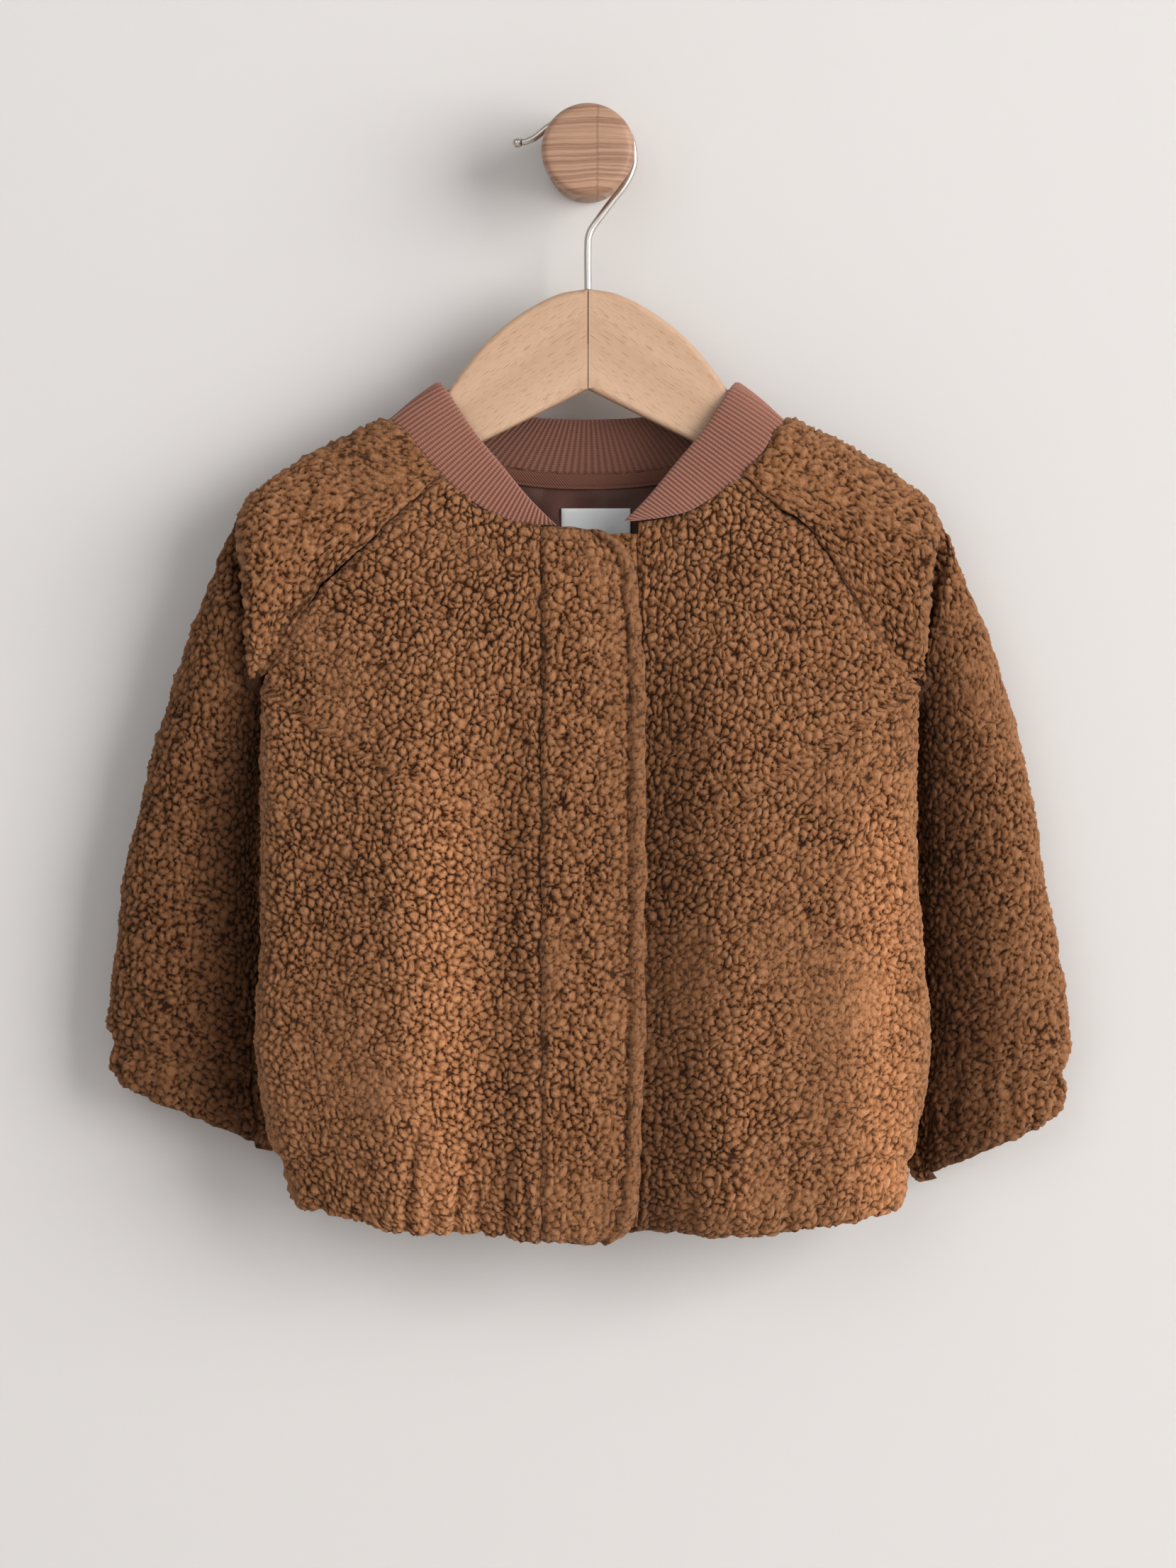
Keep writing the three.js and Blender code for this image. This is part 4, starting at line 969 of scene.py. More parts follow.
class JACKET_OT_stage(Operator):
    """Camera, plain wall and floor, and soft studio lights"""

    bl_idname = "jacket.stage"
    bl_label = "Stage"

    def execute(self, context):
        s = context.scene.jacket_stage
        camera = bpy.data.objects.new("camera", bpy.data.cameras.new("camera"))
        camera.data.lens = s.lens
        camera.data.sensor_width = 36
        camera.location = (0, -s.camera_distance, s.camera_height)
        camera.rotation_euler = (radians(90), 0, 0)
        context.scene.collection.objects.link(camera)
        context.scene.camera = camera

        half, wall_y, low = WALL_REACH / MM, WALL_Y / MM, FLOOR_Z / MM
        foot = [[-half, wall_y, low], [half, wall_y, low]]
        backdrop = new_mesh("backdrop", [*foot, [half, wall_y, half], [-half, wall_y, half]], [[[0, 1, 2, 3]]],
                            smooth=False)
        floor = new_mesh("floor", [[-half, -half, low], [half, -half, low], *reversed(foot)], [[[0, 1, 2, 3]]],
                         smooth=False)
        plaster = Finish("plain wall", roughness=0.9, specular_ior_level=0.2)
        grain = plaster.noise(plaster.place(), 1.1, 2)
        plaster.finish(plaster.blend(s.wall_colour, [0.965 * c for c in s.wall_colour], grain))
        # Seen from behind, the wall and the floor let the view through.
        clear = plaster.node("ShaderNodeBsdfTransparent")
        behind = plaster.node("ShaderNodeNewGeometry", out="Backfacing")
        surface = Value(plaster, plaster.shader.outputs[0])
        shown = plaster.node("ShaderNodeMixShader", None, {0: behind, 1: surface, 2: clear})
        plaster.tree.links.new(shown.socket, plaster.output.inputs["Surface"])
        dress(backdrop, plaster.material)
        dress(floor, plaster.material)

        def soft_light(name, place, width, height, power, colour):
            light = bpy.data.lights.new(name, "AREA")
            light.shape = "RECTANGLE"
            light.size, light.size_y = width, height
            light.energy = power
            light.color = colour
            item = bpy.data.objects.new(name, light)
            item.location = place
            item.rotation_euler = (Vector(LIGHTS_AIM) - Vector(place)).to_track_quat("-Z", "Y").to_euler()
            context.scene.collection.objects.link(item)

        soft_light("key", KEY_PLACE, KEY_WIDTH, KEY_HEIGHT, s.key, (1, 0.99, 0.98))
        soft_light("fill", FILL_PLACE, FILL_SIZE, FILL_SIZE, s.fill, (0.98, 0.99, 1))
        sky = bpy.data.worlds.new("even light")
        sky.use_nodes = True
        context.scene.world = sky
        background = sky.node_tree.nodes["Background"]
        background.inputs["Color"].default_value = (1, 0.99, 0.98, 1)
        background.inputs["Strength"].default_value = s.sky
        context.scene.view_settings.view_transform = "Standard"
        context.scene.view_settings.look = "None"
        return {"FINISHED"}


def hem_relief(x, z, creases):
    """Relief of the hem: the elastic's seam, and the creases that it draws above and below."""
    relief = -1.3 * bell(z - GATHER_LINE_Z - 1.2 * np.sin(x / 9), 3.2)
    puff = 1.5 * bell(z - GATHER_LINE_Z + 17, 12) + 1.0 * bell(z - GATHER_LINE_Z - 11, 9)
    for at, top, depth, half, lean in creases:
        off = x - at - lean * (z + 470)
        here = bell(off, half) - CREASE_BANK * bell(off, 3.2 * half)
        reach = 1 - step_up(z, top - 14, top + 8)
        relief = relief - 1.35 * depth * here * reach
    return relief + puff


class JACKET_OT_fronts(Operator):
    """The two fronts, with the creases of the elastic hem and their brushed edges"""

    bl_idname = "jacket.fronts"
    bl_label = "Fronts"

    def execute(self, context):
        s = context.scene.jacket_sizes
        material = fleece_finish(s)
        columns, low, high = grid_counts(FRONT_GRID)
        for side in (-1, 1):
            place, base, across, up = laid_out(front_shape(side), columns, panel_rows(low, high))
            x, _, z = np.moveaxis(base, -1, 0)
            from_side, from_top = across[:, -1:] - across, up[-1:] - up
            # Beside the placket the right front sinks under its edge.
            sunk = (UNDER_DEPTH if side > 0 else 0) * bell(across / across.max(), 0.13)
            seam = np.maximum(bell(from_side, SIDE_SEAM), bell(from_top, NECK_SEAM))
            seam = np.maximum(seam, bell(across, BAND_SEAM))
            relief = hem_relief(x, z, FRONT_CREASES[side]) - SEAM_DIP * seam - HEM_TURN * bell(up, HEM_EDGE) - sunk
            for at, height, half, lean in FRONT_FOLDS[side]:
                relief = relief + height * bell(x - at - lean * (z - HEM_Z), half) * step_up(-z, 175, 310)
            flat_x = place[..., 0] * FRONT_QUARTER.length
            relief = relief + 1.3 * wander(pair(flat_x, 0.35 * z), 34, 70 + side) * step_up(from_side, 8, 40)
            roll = bell(from_side - 4, 9) * step_up(-z, 236, 262)
            soft = 0.75 * roll + 0.5 * bell(from_side, 4) + 0.45 * bell(from_top, 3) + 0.35 * bell(across, 2.5)
            soft = soft + 0.5 * bell(x - side * 112, 26) * bell(z + 405, 48)
            # Painted shade, and painted light below nought, from FRONT_SHADES.
            shade = 0
            for at, amount, half, top in FRONT_SHADES[side]:
                shade = shade + amount * bell(x - at, half) * step_up(-z, top, top + 90)
            base, relief, soft, seam, flat, thick, shade = turned(
                side, base, relief, soft, seam, pair(flat_x, z), FLEECE + sunk, shade)
            piece = fleece_wall("front_" + side_name(side) + "_look", s, base, 11 + side, relief, soft, seam, flat,
                                depth=thick, shade=shade)
            dress(piece, material)
            declare(piece)
        return {"FINISHED"}


def placket_shape():
    """The placket's flat shape, from its seam (u = 0) to its edge, as (station, z)."""
    seam_x = PLACKET_SEAM_X + SEWN_GAP / 2
    edge = line(PLACKET_EDGE)
    ends = [edge(0.0), edge(1.0)]

    def on_body(x, z):
        return pair(station_at(x, z), z)

    def level(from_z, end):
        def at(u):
            u = np.asarray(u, float)
            return on_body(mix(seam_x, end[0], u), mix(from_z, end[1], u))

        return at

    def first(v):
        return on_body(seam_x, mix(HEM_Z, PLACKET_TOP_Z, np.asarray(v, float)))

    def second(v):
        p = edge(v)
        return on_body(p[..., 0], p[..., 1])

    return patch(level(HEM_Z, ends[0]), level(PLACKET_TOP_Z, ends[1]), first, second)


class JACKET_OT_front_bands(Operator):
    """The placket with its stitched roll, and the under band that it hides"""

    bl_idname = "jacket.front_bands"
    bl_label = "Front bands"

    def execute(self, context):
        s = context.scene.jacket_sizes
        material = fleece_finish(s)
        columns, rows = grid_counts(PLACKET_GRID)
        _, base, across, up = laid_out(placket_shape(), columns, np.linspace(0, 1, rows + 1))
        x, z = base[..., 0], base[..., 2]
        from_edge, from_top = across[:, -1:] - across, up[-1:] - up
        seam = np.maximum(bell(across, 2.0), bell(from_top, 2.0))
        # The stitched groove runs beside the edge, round the top corner and along the top.
        from_rim = np.minimum(from_edge, 0.7 * from_top + 3)
        groove = bell(from_edge - PLACKET_ROLL, 1.1)
        relief = (PLACKET_RAISE - (SEAM_DIP + 0.6) * bell(across, 2.0) - 1.7 * groove - 1.4 * bell(from_top, 1.8)
                  - HEM_TURN * bell(up, HEM_EDGE) - 1.7 * bell(from_edge, 1.6)
                  + 0.7 * bell(from_edge - PLACKET_ROLL / 2, 2.4))
        relief = relief + 0.6 * hem_relief(x, z, PLACKET_CREASES)
        relief = relief + 0.7 * wander(pair(x, z), 24, 91)
        soft = 0.85 * (1 - step_up(from_rim, PLACKET_ROLL - 1.5, PLACKET_ROLL + 1)) + 0.4 * bell(across, 2.4)
        soft = soft + 0.4 * bell(from_edge - 13, 6)
        # shade paints the placket's rolled edge a little darker: painted shade beside the edge.
        piece = fleece_wall("placket_look", s, base, 40, relief, soft, np.maximum(seam, groove), pair(x, z),
                            depth=UNDER_DEPTH - UNDER_CLEAR, shade=0.22 * bell(from_edge - 2, 6))
        dress(piece, material)
        declare(piece)

        columns, rows = grid_counts(STAND_GRID)
        u, v = np.meshgrid(np.linspace(0, 1, columns + 1), np.linspace(0, 1, rows + 1))
        z = mix(STAND_LOW_Z, STAND_TOP_Z, v)
        base = body_point(station_at(mix(UNDER_BAND_X, RIGHT_SEAM_X - SEAM_GAP, u), z), z)
        across, up = spread(base)
        seam = np.maximum(bell(across, 2), bell(across[:, -1:] - across, 2))
        relief = -UNDER_DEPTH - 0.6 * seam
        piece = fleece_wall("button_stand_look", s, base, 55, relief, 0.5 * seam, np.maximum(seam, 0.5),
                            pair(across, up), depth=UNDER_DEPTH + FLEECE - THIN)
        dress(piece, material)
        declare(piece)
        return {"FINISHED"}


def random_creases(count, low, high, top, seed):
    """Creases spread unevenly between two places, the same each time."""
    draw = np.random.default_rng(seed)
    step = (high - low) / count
    return [[low + (k + 0.2 + 0.6 * draw.random()) * step, top - 8 + 16 * draw.random(), 1.2 + 1.6 * draw.random(),
             1.9 + 1.2 * draw.random(), 0.24 * draw.random() - 0.12] for k in range(count)]


class JACKET_OT_back(Operator):
    """The back, with its gathered hem"""

    bl_idname = "jacket.back"
    bl_label = "Back"

    def execute(self, context):
        s = context.scene.jacket_sizes
        columns, low, high = grid_counts(BACK_GRID)
        place, base, across, up = laid_out(back_shape(), columns, panel_rows(low, high))
        x = (place[..., 0] - 2) * BACK_QUARTER.length
        z = base[..., 2]
        from_side = np.minimum(across, across[:, -1:] - across)
        from_top = up[-1:] - up
        seam = np.maximum(bell(from_side, SIDE_SEAM), bell(from_top, NECK_SEAM))
        relief = -SEAM_DIP * seam - HEM_TURN * bell(up, HEM_EDGE)
        relief = relief + hem_relief(x, z, random_creases(BACK_CREASES, -140, 140, -440, 5))
        relief = relief + 1.5 * wander(pair(x, 0.35 * z), 38, 77) * step_up(from_side, 8, 40)
        soft = 0.5 * bell(from_side, 6) + 0.4 * bell(from_top, 3)
        piece = fleece_wall("back_look", s, base, 21, relief, soft, seam, pair(x, z))
        dress(piece, fleece_finish(s))
        declare(piece)
        return {"FINISHED"}


def armhole(side):
    """The armhole: shoulder point, front neckline, front raglan seam, armpit, and back up behind."""
    corner = FRONT_SEAM[side][0]
    neck = [p for p in NECKLINE[side] if p[0] >= corner[0] - 1][::-1]
    front_neck = line(neck)
    shoulder_out = NECKLINE[side][-1][0]

    def half(t, is_back):
        low = raglan(side, is_back)(np.clip((t - NECK_SHARE) / (0.5 - NECK_SHARE), 0, 1))
        s = np.clip(t / NECK_SHARE, 0, 1)
        if is_back:
            out = mix(shoulder_out, BACK_SEAM[0][0], s)
            high = pair(out, back_neck_z(out))
        else:
            high = front_neck(s)
        p = np.where((t >= NECK_SHARE)[:, None], low, high)
        station = station_at(side * p[:, 0], p[:, 1], is_back)
        return body_point(np.where(t <= 0, side, station), p[:, 1])

    return lambda t: np.where((t <= 0.5)[:, None], half(np.minimum(t, 0.5), False), half(np.minimum(1 - t, 0.5), True))


def ring_points(ring, side, t):
    """A flat oval section of a sleeve at t round it: 0 is its outer point, a quarter its front."""
    out_x, out_z, out_y, in_x, in_z, in_y, front, back = ring
    c, s = np.cos(t * 2 * pi), np.sin(t * 2 * pi)
    r = (np.abs(c) ** RING_POWER + np.abs(s) ** RING_POWER) ** (-1 / RING_POWER)
    along = (1 + r * c) / 2
    across = r * s
    z = mix(in_z, out_z, along)
    y = mix(in_y, out_y, along) - np.where(across > 0, front, back) * across
    low = np.clip((z - DROP_FROM_Z) / (DROP_TO_Z - DROP_FROM_Z), 0, 1) if side > 0 else 0 * z
    x = side * (mix(in_x, out_x, along) + RIGHT_SLEEVE_SHIFT * low * (1 - along))
    return np.stack([x, y, z - RIGHT_SLEEVE_DROP * low], axis=-1)


def sleeve_flat(grid):
    """Places on a sleeve's flat cloth: as seen from the front or the back, and as much further across as the
    cloth runs in depth."""
    seen = grid[..., [0, 2]]
    last = grid.shape[1] - 1
    steps = [np.linalg.norm(np.diff(g, axis=1, prepend=g[:, :1]), axis=-1) for g in (grid, seen)]
    further = np.cumsum(steps[0] - steps[1], axis=1)
    chord = seen[:, last // 2] - seen[:, 0]
    chord = (chord / np.linalg.norm(chord, axis=1, keepdims=True))[:, None]
    is_back = np.arange(last + 1) > last // 2
    middle = np.where(is_back, further[:, [3 * last // 4]], further[:, [last // 4]])
    return seen + chord * (np.where(is_back, -1, 1) * (further - middle))[..., None]


def sleeve_face(side, t, rows):
    """A grid of a sleeve's face from the armhole to the cuff, and the number of the ring that each row lies at."""
    seam = armhole(side)(t)
    fold = ring_points(SLEEVE_RINGS[0], side, t)
    halfway = (seam + fold) / 2
    halfway[:, 2] += RIDGE_LIFT * np.maximum(0, np.cos(t * 2 * pi)) ** 4
    rings = np.array([seam, halfway] + [ring_points(ring, side, t) for ring in SLEEVE_RINGS])
    numbers = np.arange(len(rings))
    steps = np.linalg.norm(np.diff(rings, axis=0), axis=-1).mean(axis=1)
    far = np.concatenate([[0], np.cumsum(steps)])
    k = np.interp(np.linspace(0, far[-1], rows + 1), far, numbers)
    k = np.maximum(k, SEWN_GAP / 2 / steps[0])
    return through(np.column_stack([numbers, rings.reshape(len(rings), -1)]))(k).reshape(rows + 1, len(t), 3), k


def cuff_relief(side, t, here):
    """Relief of the cuff: the elastic's seam, and the creases that it draws above and below."""
    elastic = len(SLEEVE_RINGS) - 1  # its ring's number, as two more rings lie above the fold
    draw = np.random.default_rng(31 + side)
    relief = -0.8 * bell(here - elastic, 0.3)
    for n in range(CUFF_CREASES):
        at = (n + 0.2 + 0.6 * draw.random()) / CUFF_CREASES
        half = (1.7 + 1.2 * draw.random()) / CUFF_ROUND
        way = (t - at + 0.5) % 1 - 0.5
        depth = (1.3 + 1.6 * draw.random()) * (bell(way, half) - CREASE_BANK * bell(way, 3 * half))
        relief = relief - depth * step_up(here, elastic - 1.9 - 0.8 * draw.random(), elastic - 0.3)
    return relief


class JACKET_OT_sleeves(Operator):
    """The raglan sleeves, from the fold at the shoulder to the gathered cuff"""

    bl_idname = "jacket.sleeves"
    bl_label = "Sleeves"

    def execute(self, context):
        s = context.scene.jacket_sizes
        material = fleece_finish(s)
        columns, rows = grid_counts(SLEEVE_GRID)
        t = np.linspace(0, 1, columns + 1)
        for side in (-1, 1):
            base, k = sleeve_face(side, t, rows)
            here = k[:, None]
            _, up = spread(base)
            from_end = up[-1:] - up
            seam = bell(up, SIDE_SEAM)
            # The cloth sinks towards the body in front, and rounds up again to the outer edge.
            relief = bump(t, SLEEVE_SWELL) - bump(t, SLEEVE_SINK) * step_up(here, 3, 6) + cuff_relief(side, t, here)
            relief = relief - SEAM_DIP * seam - HEM_TURN * bell(from_end, HEM_EDGE)
            long = base * (1, 1, 0.4)
            relief = relief + 1.5 * wander(long, 30, 60 + side) * step_up(up, 10, 50) * step_up(from_end, 6, 50)
            relief = relief + 0.9 * wander(base, 21, 64 + side) * step_up(up, 10, 60)
            outer_edge = bell(t - 0.02, 0.05) + bell(1 - t, 0.04)
            soft = 0.5 * seam + 0.35 * outer_edge + 0.25 * bell(from_end, 5)
            # Painted shade where the body shades the sleeve, and over the left sleeve, which lies away from the light.
            shade = sum(bump(t, spot) for spot in SLEEVE_SHADES)
            if side < 0:
                shade = np.maximum(shade, sum(bump(t, spot) for spot in LEFT_SHADES))
            shade = shade * step_up(here, 1.6, 3.2)
            thick = FLEECE - bump(t, SLEEVE_THIN) * bell(here, 3)
            base, relief, soft, seam, flat, thick, shade = turned(
                side, base, relief, soft, seam, sleeve_flat(base), thick, shade)
            piece = fleece_wall("sleeve_" + side_name(side) + "_look", s, base, 33 + side, relief, soft, seam, flat,
                                closed=True, depth=thick, shade=shade)
            dress(piece, material)
            declare(piece)
        return {"FINISHED"}


def band_halves():
    """The neckband's lower and upper edges as a function of 0..1, from the left tip round the back."""
    top = line(BAND_TOP)

    def half(side, q):
        neck = line(NECKLINE[side])
        shoulder = NECKLINE[side][-1][0]
        is_back = q > 0.5
        s = np.where(is_back, (1 - q) / 0.5, q / 0.5)
        back_out = shoulder * np.sin(s * pi / 2)
        front = neck(np.clip(s, 0, 1))
        out = np.where(is_back, back_out, front[..., 0])
        z = np.where(is_back, back_neck_z(back_out), front[..., 1])
        station = np.where(is_back, station_at(side * out, z, True), station_at(side * out, z, False))
        station = np.where(s >= 1, side, station)
        low = body_point(station, z)
        across = body_point(station + 1e-3, z) - body_point(station - 1e-3, z)
        upward = body_point(station, z + 0.05) - body_point(station, z - 0.05)
        face = np.cross(across, upward)
        low = low - BAND_DEPTH * face / np.linalg.norm(face, axis=-1, keepdims=True)
        high = top(q)
        high[..., 0] *= side
        return low, high

    def at(s):
        left, right = half(-1, 2 * np.minimum(s, 0.5)), half(1, 2 - 2 * np.maximum(s, 0.5))
        first = (s <= 0.5)[:, None]
        return np.where(first, left[0], right[0]), np.where(first, left[1], right[1])

    return at


class JACKET_OT_neckband(Operator):
    """The folded rib-knit neckband"""

    bl_idname = "jacket.neckband"
    bl_label = "Neckband"

    def execute(self, context):
        s = context.scene.jacket_sizes
        per_rib = grid_counts(POINTS_PER_RIB)
        t = np.linspace(0, 1, s.ribs * per_rib + 1)
        at = band_halves()
        low, high = at(t)
        before, after = at(np.clip(t - 6e-3, 0, 1)), at(np.clip(t + 6e-3, 0, 1))
        along = after[0] + after[1] - before[0] - before[1]
        up = high - low
        out = np.cross(up, along)
        out /= np.linalg.norm(out, axis=-1, keepdims=True)
        wave = np.cos(t * s.ribs * 2 * pi)
        ridge = np.sign(wave) * np.abs(wave) ** 0.7
        rise = np.concatenate([np.linspace(-0.02, 0.9, 15), 0.93 + 0.07 * np.sin(np.linspace(0, pi / 2, 5))])
        across = np.concatenate([rise, rise[-2::-1]])
        face = np.concatenate([np.ones(len(rise)), -np.ones(len(rise) - 1)])
        edge = np.clip((across - 0.9) / 0.1, 0, 1)
        round_top = np.sqrt(np.clip(1 - edge**2, 0, 1))
        belly = 0.8 * np.sin(np.clip(across, 0, 1) * pi)
        half = BAND_THICK / 2 + s.rib_height / MM * ridge[:, None] * np.where(face > 0, 1, 0.7)[None, :]
        points = (low[:, None] + up[:, None] * across[None, :, None]
                  + out[:, None] * (belly[None, :] + face[None, :] * half * round_top[None, :])[..., None])
        index = np.arange(points.shape[0] * points.shape[1]).reshape(points.shape[:2])
        ring = np.concatenate([index, index[:, :1]], axis=1)
        caps = [[index[0].tolist()[::-1]], [index[-1].tolist()]]
        height = np.linalg.norm(up, axis=-1)
        marks = {
            "rib": np.repeat(ridge[:, None] * 0.5 + 0.5, len(across), 1),
            "round_band": np.repeat(((t * s.ribs) % 1)[:, None], len(across), 1),
            "up_band": across[None, :] * height[:, None] / 25,
            # behind marks the inner face, which rib_finish paints darker as painted shade.
            "behind": np.repeat((face < 0)[None, :], len(t), 0),
        }
        piece = new_mesh("neckband_look", points.reshape(-1, 3), [quads(ring.T)[:, ::-1], caps[0], caps[1]], marks)
        dress(piece, rib_finish(s))
        declare(piece)
        return {"FINISHED"}


def inside_back(name, left, right, top, low, columns, rows, depth, thick, relief):
    """A thin strip on the inside of the back, between two depths below the fleece's face."""
    u, v = np.meshgrid(np.linspace(0, 1, columns + 1), np.linspace(0, 1, rows + 1))
    x = mix(left, right, u)
    z = mix(low(x), top(x), v)
    base = body_point(station_at(x, z, True), z)
    face = normals(base)
    across, up = spread(base)
    outer = base + face * (depth + thick + relief(x, z, across, up))[..., None]
    inner = base + face * (depth + 0.4 * relief(x, z, across, up))[..., None]
    o = np.arange(u.size).reshape(u.shape)
    n = o + u.size
    border = [np.column_stack([o[0, :-1], n[0, :-1], n[0, 1:], o[0, 1:]]),
              np.column_stack([o[-1, 1:], n[-1, 1:], n[-1, :-1], o[-1, :-1]]),
              np.column_stack([o[1:, 0], n[1:, 0], n[:-1, 0], o[:-1, 0]]),
              np.column_stack([o[:-1, -1], n[:-1, -1], n[1:, -1], o[1:, -1]])]
    points = np.concatenate([outer.reshape(-1, 3), inner.reshape(-1, 3)])
    return new_mesh(name, points, [quads(o), quads(n)[:, ::-1], *border])


class JACKET_OT_back_neck(Operator):
    """What shows inside the back of the neck: lining, tape and blank label"""

    bl_idname = "jacket.back_neck"
    bl_label = "Inside of the neck"

    def execute(self, context):
        s = context.scene.jacket_sizes
        on_fleece = FLEECE + SEAM_GAP
        on_lining = on_fleece + THIN + SEAM_GAP

        def under_neck(x):
            return back_neck_z(x) - NECK_MARGIN

        def folds(x, z, across, up):
            hung = step_up(-z, 142, 152)
            soft = 1.5 * wander(pair(x + 0.3 * z, 0.4 * z), 13, 3) + 0.8 * wander(pair(x - 0.5 * z, 0.8 * z), 7, 4)
            return hung * soft * 0.9 * step_up(up, 0, 8) * mix(1.3, 0.7, bell(x - 4, 22))

        def tape_relief(x, z, across, up):
            high = up[-1:] - up
            return 0.25 * wander(pair(x, z), 12, 8) - 0.45 * bell(up - 1.2, 0.45) - 0.35 * bell(high, 0.8)

        def label_relief(x, z, across, up):
            ends = np.minimum(x - LABEL_FROM, LABEL_TO - x)
            return 0.5 + 0.35 * wander(pair(x, z), 11, 5) - 0.35 * bell(ends, 0.9) - 0.25 * bell(up[-1:] - up, 0.8)

        lining = inside_back("back_lining_look", -LINING_HALF, LINING_HALF, under_neck, lambda x: LINING_LOW + 0 * x,
                             96, 64, on_fleece, THIN * 0.6, folds)
        dress(lining, lining_finish(s))
        declare(lining)
        tape = inside_back("neck_tape_look", -TAPE_HALF, TAPE_HALF, under_neck,
                           lambda x: under_neck(x) - TAPE_HEIGHT, 200, 20, on_lining, THIN, tape_relief)
        dress(tape, tape_finish(s))
        declare(tape)
        label = inside_back("label_look", LABEL_FROM, LABEL_TO, lambda x: LABEL_TOP + 0 * x,
                            lambda x: LABEL_LOW + 0 * x, 60, 48, on_lining, THIN, label_relief)
        dress(label, label_finish(s))
        declare(label)
        return {"FINISHED"}


def rounded_slab(name, outline, thick, middle_y, edge, segments, sharp):
    """A slab with rounded edges from its closed outline of [x, z], anticlockwise seen from the front. Where sharp
    is set, the edge is hardly rounded."""
    path = np.array(outline, float)
    before, after = np.roll(path, 1, axis=0), np.roll(path, -1, axis=0)
    first, second = path - before, after - path
    first /= np.linalg.norm(first, axis=1, keepdims=True)
    second /= np.linalg.norm(second, axis=1, keepdims=True)
    bisector = first + second
    bisector /= np.linalg.norm(bisector, axis=1, keepdims=True)
    out = np.column_stack([bisector[:, 1], -bisector[:, 0]])
    widen = np.where(sharp, 0.08, 1 / np.clip((first * bisector).sum(axis=1), 0.5, 1))
    loops = []
    turns = np.linspace(0, pi / 2, segments + 1)
    for front, angles in ((1, turns), (-1, turns[::-1])):
        for angle in angles:
            inset = edge * (1 - sin(angle))
            y = middle_y - front * (thick / 2 - edge + edge * cos(angle))
            moved = path - out * (inset * widen)[:, None]
            loops.append(np.column_stack([moved[:, 0], np.full(len(path), y), moved[:, 1]]))
    points = np.concatenate(loops)
    index = np.arange(len(points)).reshape(len(loops), -1)
    ring = np.concatenate([index, index[:, :1]], axis=1)
    return new_mesh(name, points, [quads(ring)[:, ::-1], [index[0].tolist()], [index[-1].tolist()[::-1]]])


class JACKET_OT_hanger(Operator):
    """The two mitred halves of the wooden hanger"""

    bl_idname = "jacket.hanger"
    bl_label = "Hanger"

    def execute(self, context):
        s = context.scene.jacket_hanger
        material = beech_finish(s)
        rows = np.array(HANGER_TOP, float)
        upper = line(rows)(np.linspace(0, 1, 90))
        for side in (-1, 1):
            lower = np.linspace(upper[-1], [SEAM_GAP / 2, HANGER_LOW_Z], 60)[1:]
            mitre = np.linspace([SEAM_GAP / 2, HANGER_LOW_Z], [SEAM_GAP / 2, rows[0][1]], 24)[1:-1]
            top = upper.copy()
            top[0, 0] = SEAM_GAP / 2
            outline = np.concatenate([top, lower, mitre])
            outline[:, 0] *= side
            if side > 0:
                outline = outline[::-1]
            piece = rounded_slab("hanger_arm_" + side_name(side) + "_look", outline, HANGER_THICK, HANG_Y,
                                 s.edge / MM, 6, np.abs(outline[:, 0]) < 0.2)
            dress(piece, material)
            declare(piece)
        return {"FINISHED"}


def tube(name, path, radii, sides):
    """A round tube along a path of points in the plane of the hanger."""
    path = np.array(path, float)
    way = np.gradient(path, axis=0)
    way /= np.linalg.norm(way, axis=1, keepdims=True)
    flat = np.array([0, 1, 0])
    outward = np.cross(way, flat)
    turn = np.linspace(0, 2 * pi, sides, endpoint=False)
    ring = outward[:, None] * np.cos(turn)[None, :, None] + flat * np.sin(turn)[None, :, None]
    points = path[:, None] + ring * np.asarray(radii)[:, None, None]
    index = np.arange(points.shape[0] * sides).reshape(-1, sides)
    loop = np.concatenate([index, index[:, :1]], axis=1)
    return new_mesh(name, points.reshape(-1, 3),
                    [quads(loop)[:, ::-1], [index[0].tolist()], [index[-1].tolist()[::-1]]])


class JACKET_OT_hook(Operator):
    """The hanger's wire hook, over the peg, with its ball tip"""

    bl_idname = "jacket.hook"
    bl_label = "Hook"

    def execute(self, context):
        s = context.scene.jacket_hanger
        bend = [[HOOK_RADIUS * cos(radians(d)), HOOK_CENTRE_Z + HOOK_RADIUS * sin(radians(d))] for d in HOOK_BEND]
        points = [[x, HANG_Y, z] for x, z in HOOK_RISE + bend + HOOK_END]
        smooth = line(points)
        path = smooth(np.linspace(0, 1, 200))
        radii = np.full(len(path), WIRE)
        # The ball grows out of the wire's end.
        end = path[-1]
        way = (path[-1] - path[-2]) / np.linalg.norm(path[-1] - path[-2])
        angles = np.linspace(radians(42), radians(176), 14)
        ball = [end - way * HOOK_TIP * cos(a) for a in angles]
        path = np.concatenate([path[:-2], ball])
        radii = np.concatenate([radii[:-2], HOOK_TIP * np.sin(angles)])
        piece = tube("hook_look", path, radii, 16)
        dress(piece, wire_finish(s))
        declare(piece)
        return {"FINISHED"}


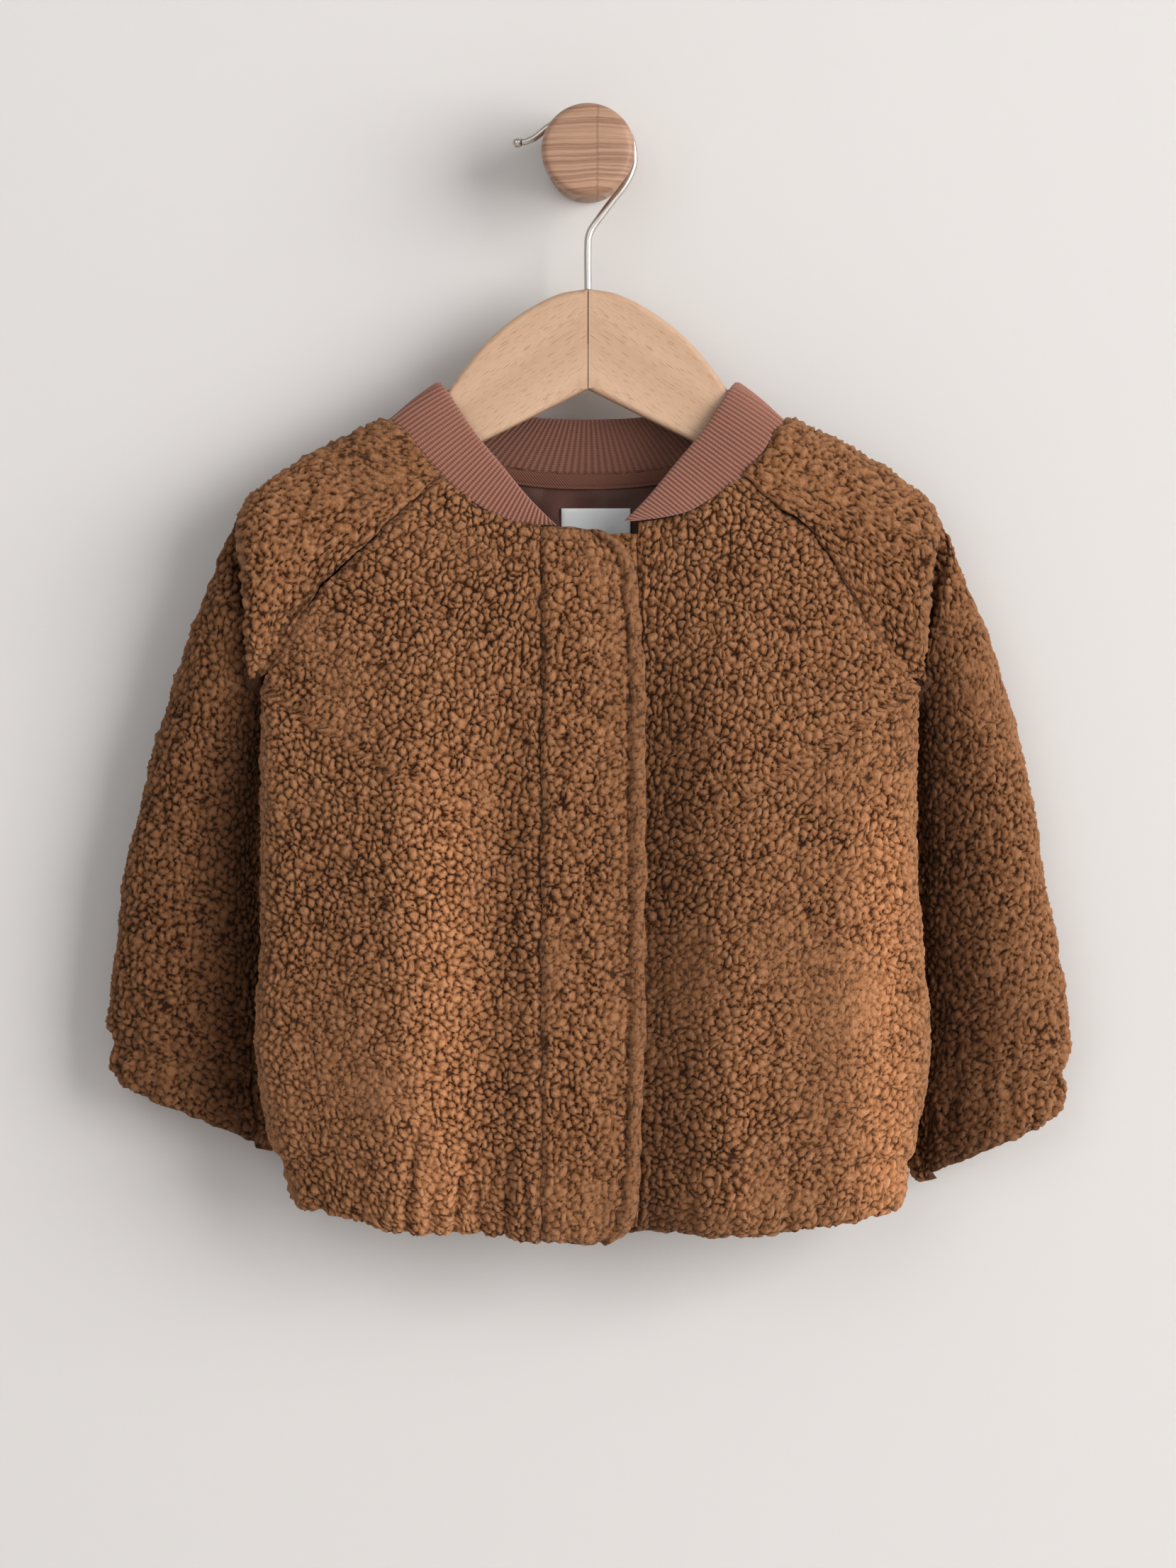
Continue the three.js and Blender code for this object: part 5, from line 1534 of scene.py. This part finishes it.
class JACKET_OT_peg(Operator):
    """The turned wooden peg on the wall"""

    bl_idname = "jacket.peg"
    bl_label = "Peg"

    def execute(self, context):
        s = context.scene.jacket_hanger
        sides = 96
        profile = line(PEG_PROFILE[1:-1])(np.linspace(0, 1, 60))
        turn = np.linspace(0, 2 * pi, sides, endpoint=False)
        points = np.stack([profile[:, None, 0] * np.cos(turn), np.repeat(profile[:, 1:], sides, 1),
                           profile[:, None, 0] * np.sin(turn)], axis=-1)
        index = np.arange(points.shape[0] * sides).reshape(-1, sides)
        loop = np.concatenate([index, index[:, :1]], axis=1)
        piece = new_mesh("wall_peg_look", points.reshape(-1, 3),
                         [quads(loop), [index[0].tolist()[::-1]], [index[-1].tolist()]])
        dress(piece, peg_finish(s))
        declare(piece)
        return {"FINISHED"}


class JACKET_PT_pieces(Panel):
    """Lists the pieces and their sizes"""

    bl_label = "Fleece jacket"
    bl_idname = "JACKET_PT_pieces"
    bl_space_type = "VIEW_3D"
    bl_region_type = "UI"
    bl_category = "Jacket"

    def draw(self, context):
        for operator in OPERATORS:
            self.layout.operator(operator.bl_idname)
        for group in (context.scene.jacket_sizes, context.scene.jacket_hanger, context.scene.jacket_stage):
            box = self.layout.box()
            for name in group.__annotations__:
                box.prop(group, name)


OPERATORS = [JACKET_OT_stage, JACKET_OT_fronts, JACKET_OT_front_bands, JACKET_OT_back, JACKET_OT_sleeves,
             JACKET_OT_neckband, JACKET_OT_back_neck, JACKET_OT_hanger, JACKET_OT_hook, JACKET_OT_peg]
GROUPS = {"jacket_sizes": JacketSizes, "jacket_hanger": HangerSizes, "jacket_stage": StageSizes}


def register():
    for made in [*GROUPS.values(), *OPERATORS, JACKET_PT_pieces]:
        bpy.utils.register_class(made)
    for name, group in GROUPS.items():
        setattr(bpy.types.Scene, name, PointerProperty(type=group))


def unregister():
    for name in GROUPS:
        delattr(bpy.types.Scene, name)
    for made in [JACKET_PT_pieces, *reversed(OPERATORS), *GROUPS.values()]:
        bpy.utils.unregister_class(made)


def main():
    register()
    for operator in OPERATORS:
        group, name = operator.bl_idname.split(".")
        getattr(getattr(bpy.ops, group), name)()


if __name__ == "__main__":
    main()
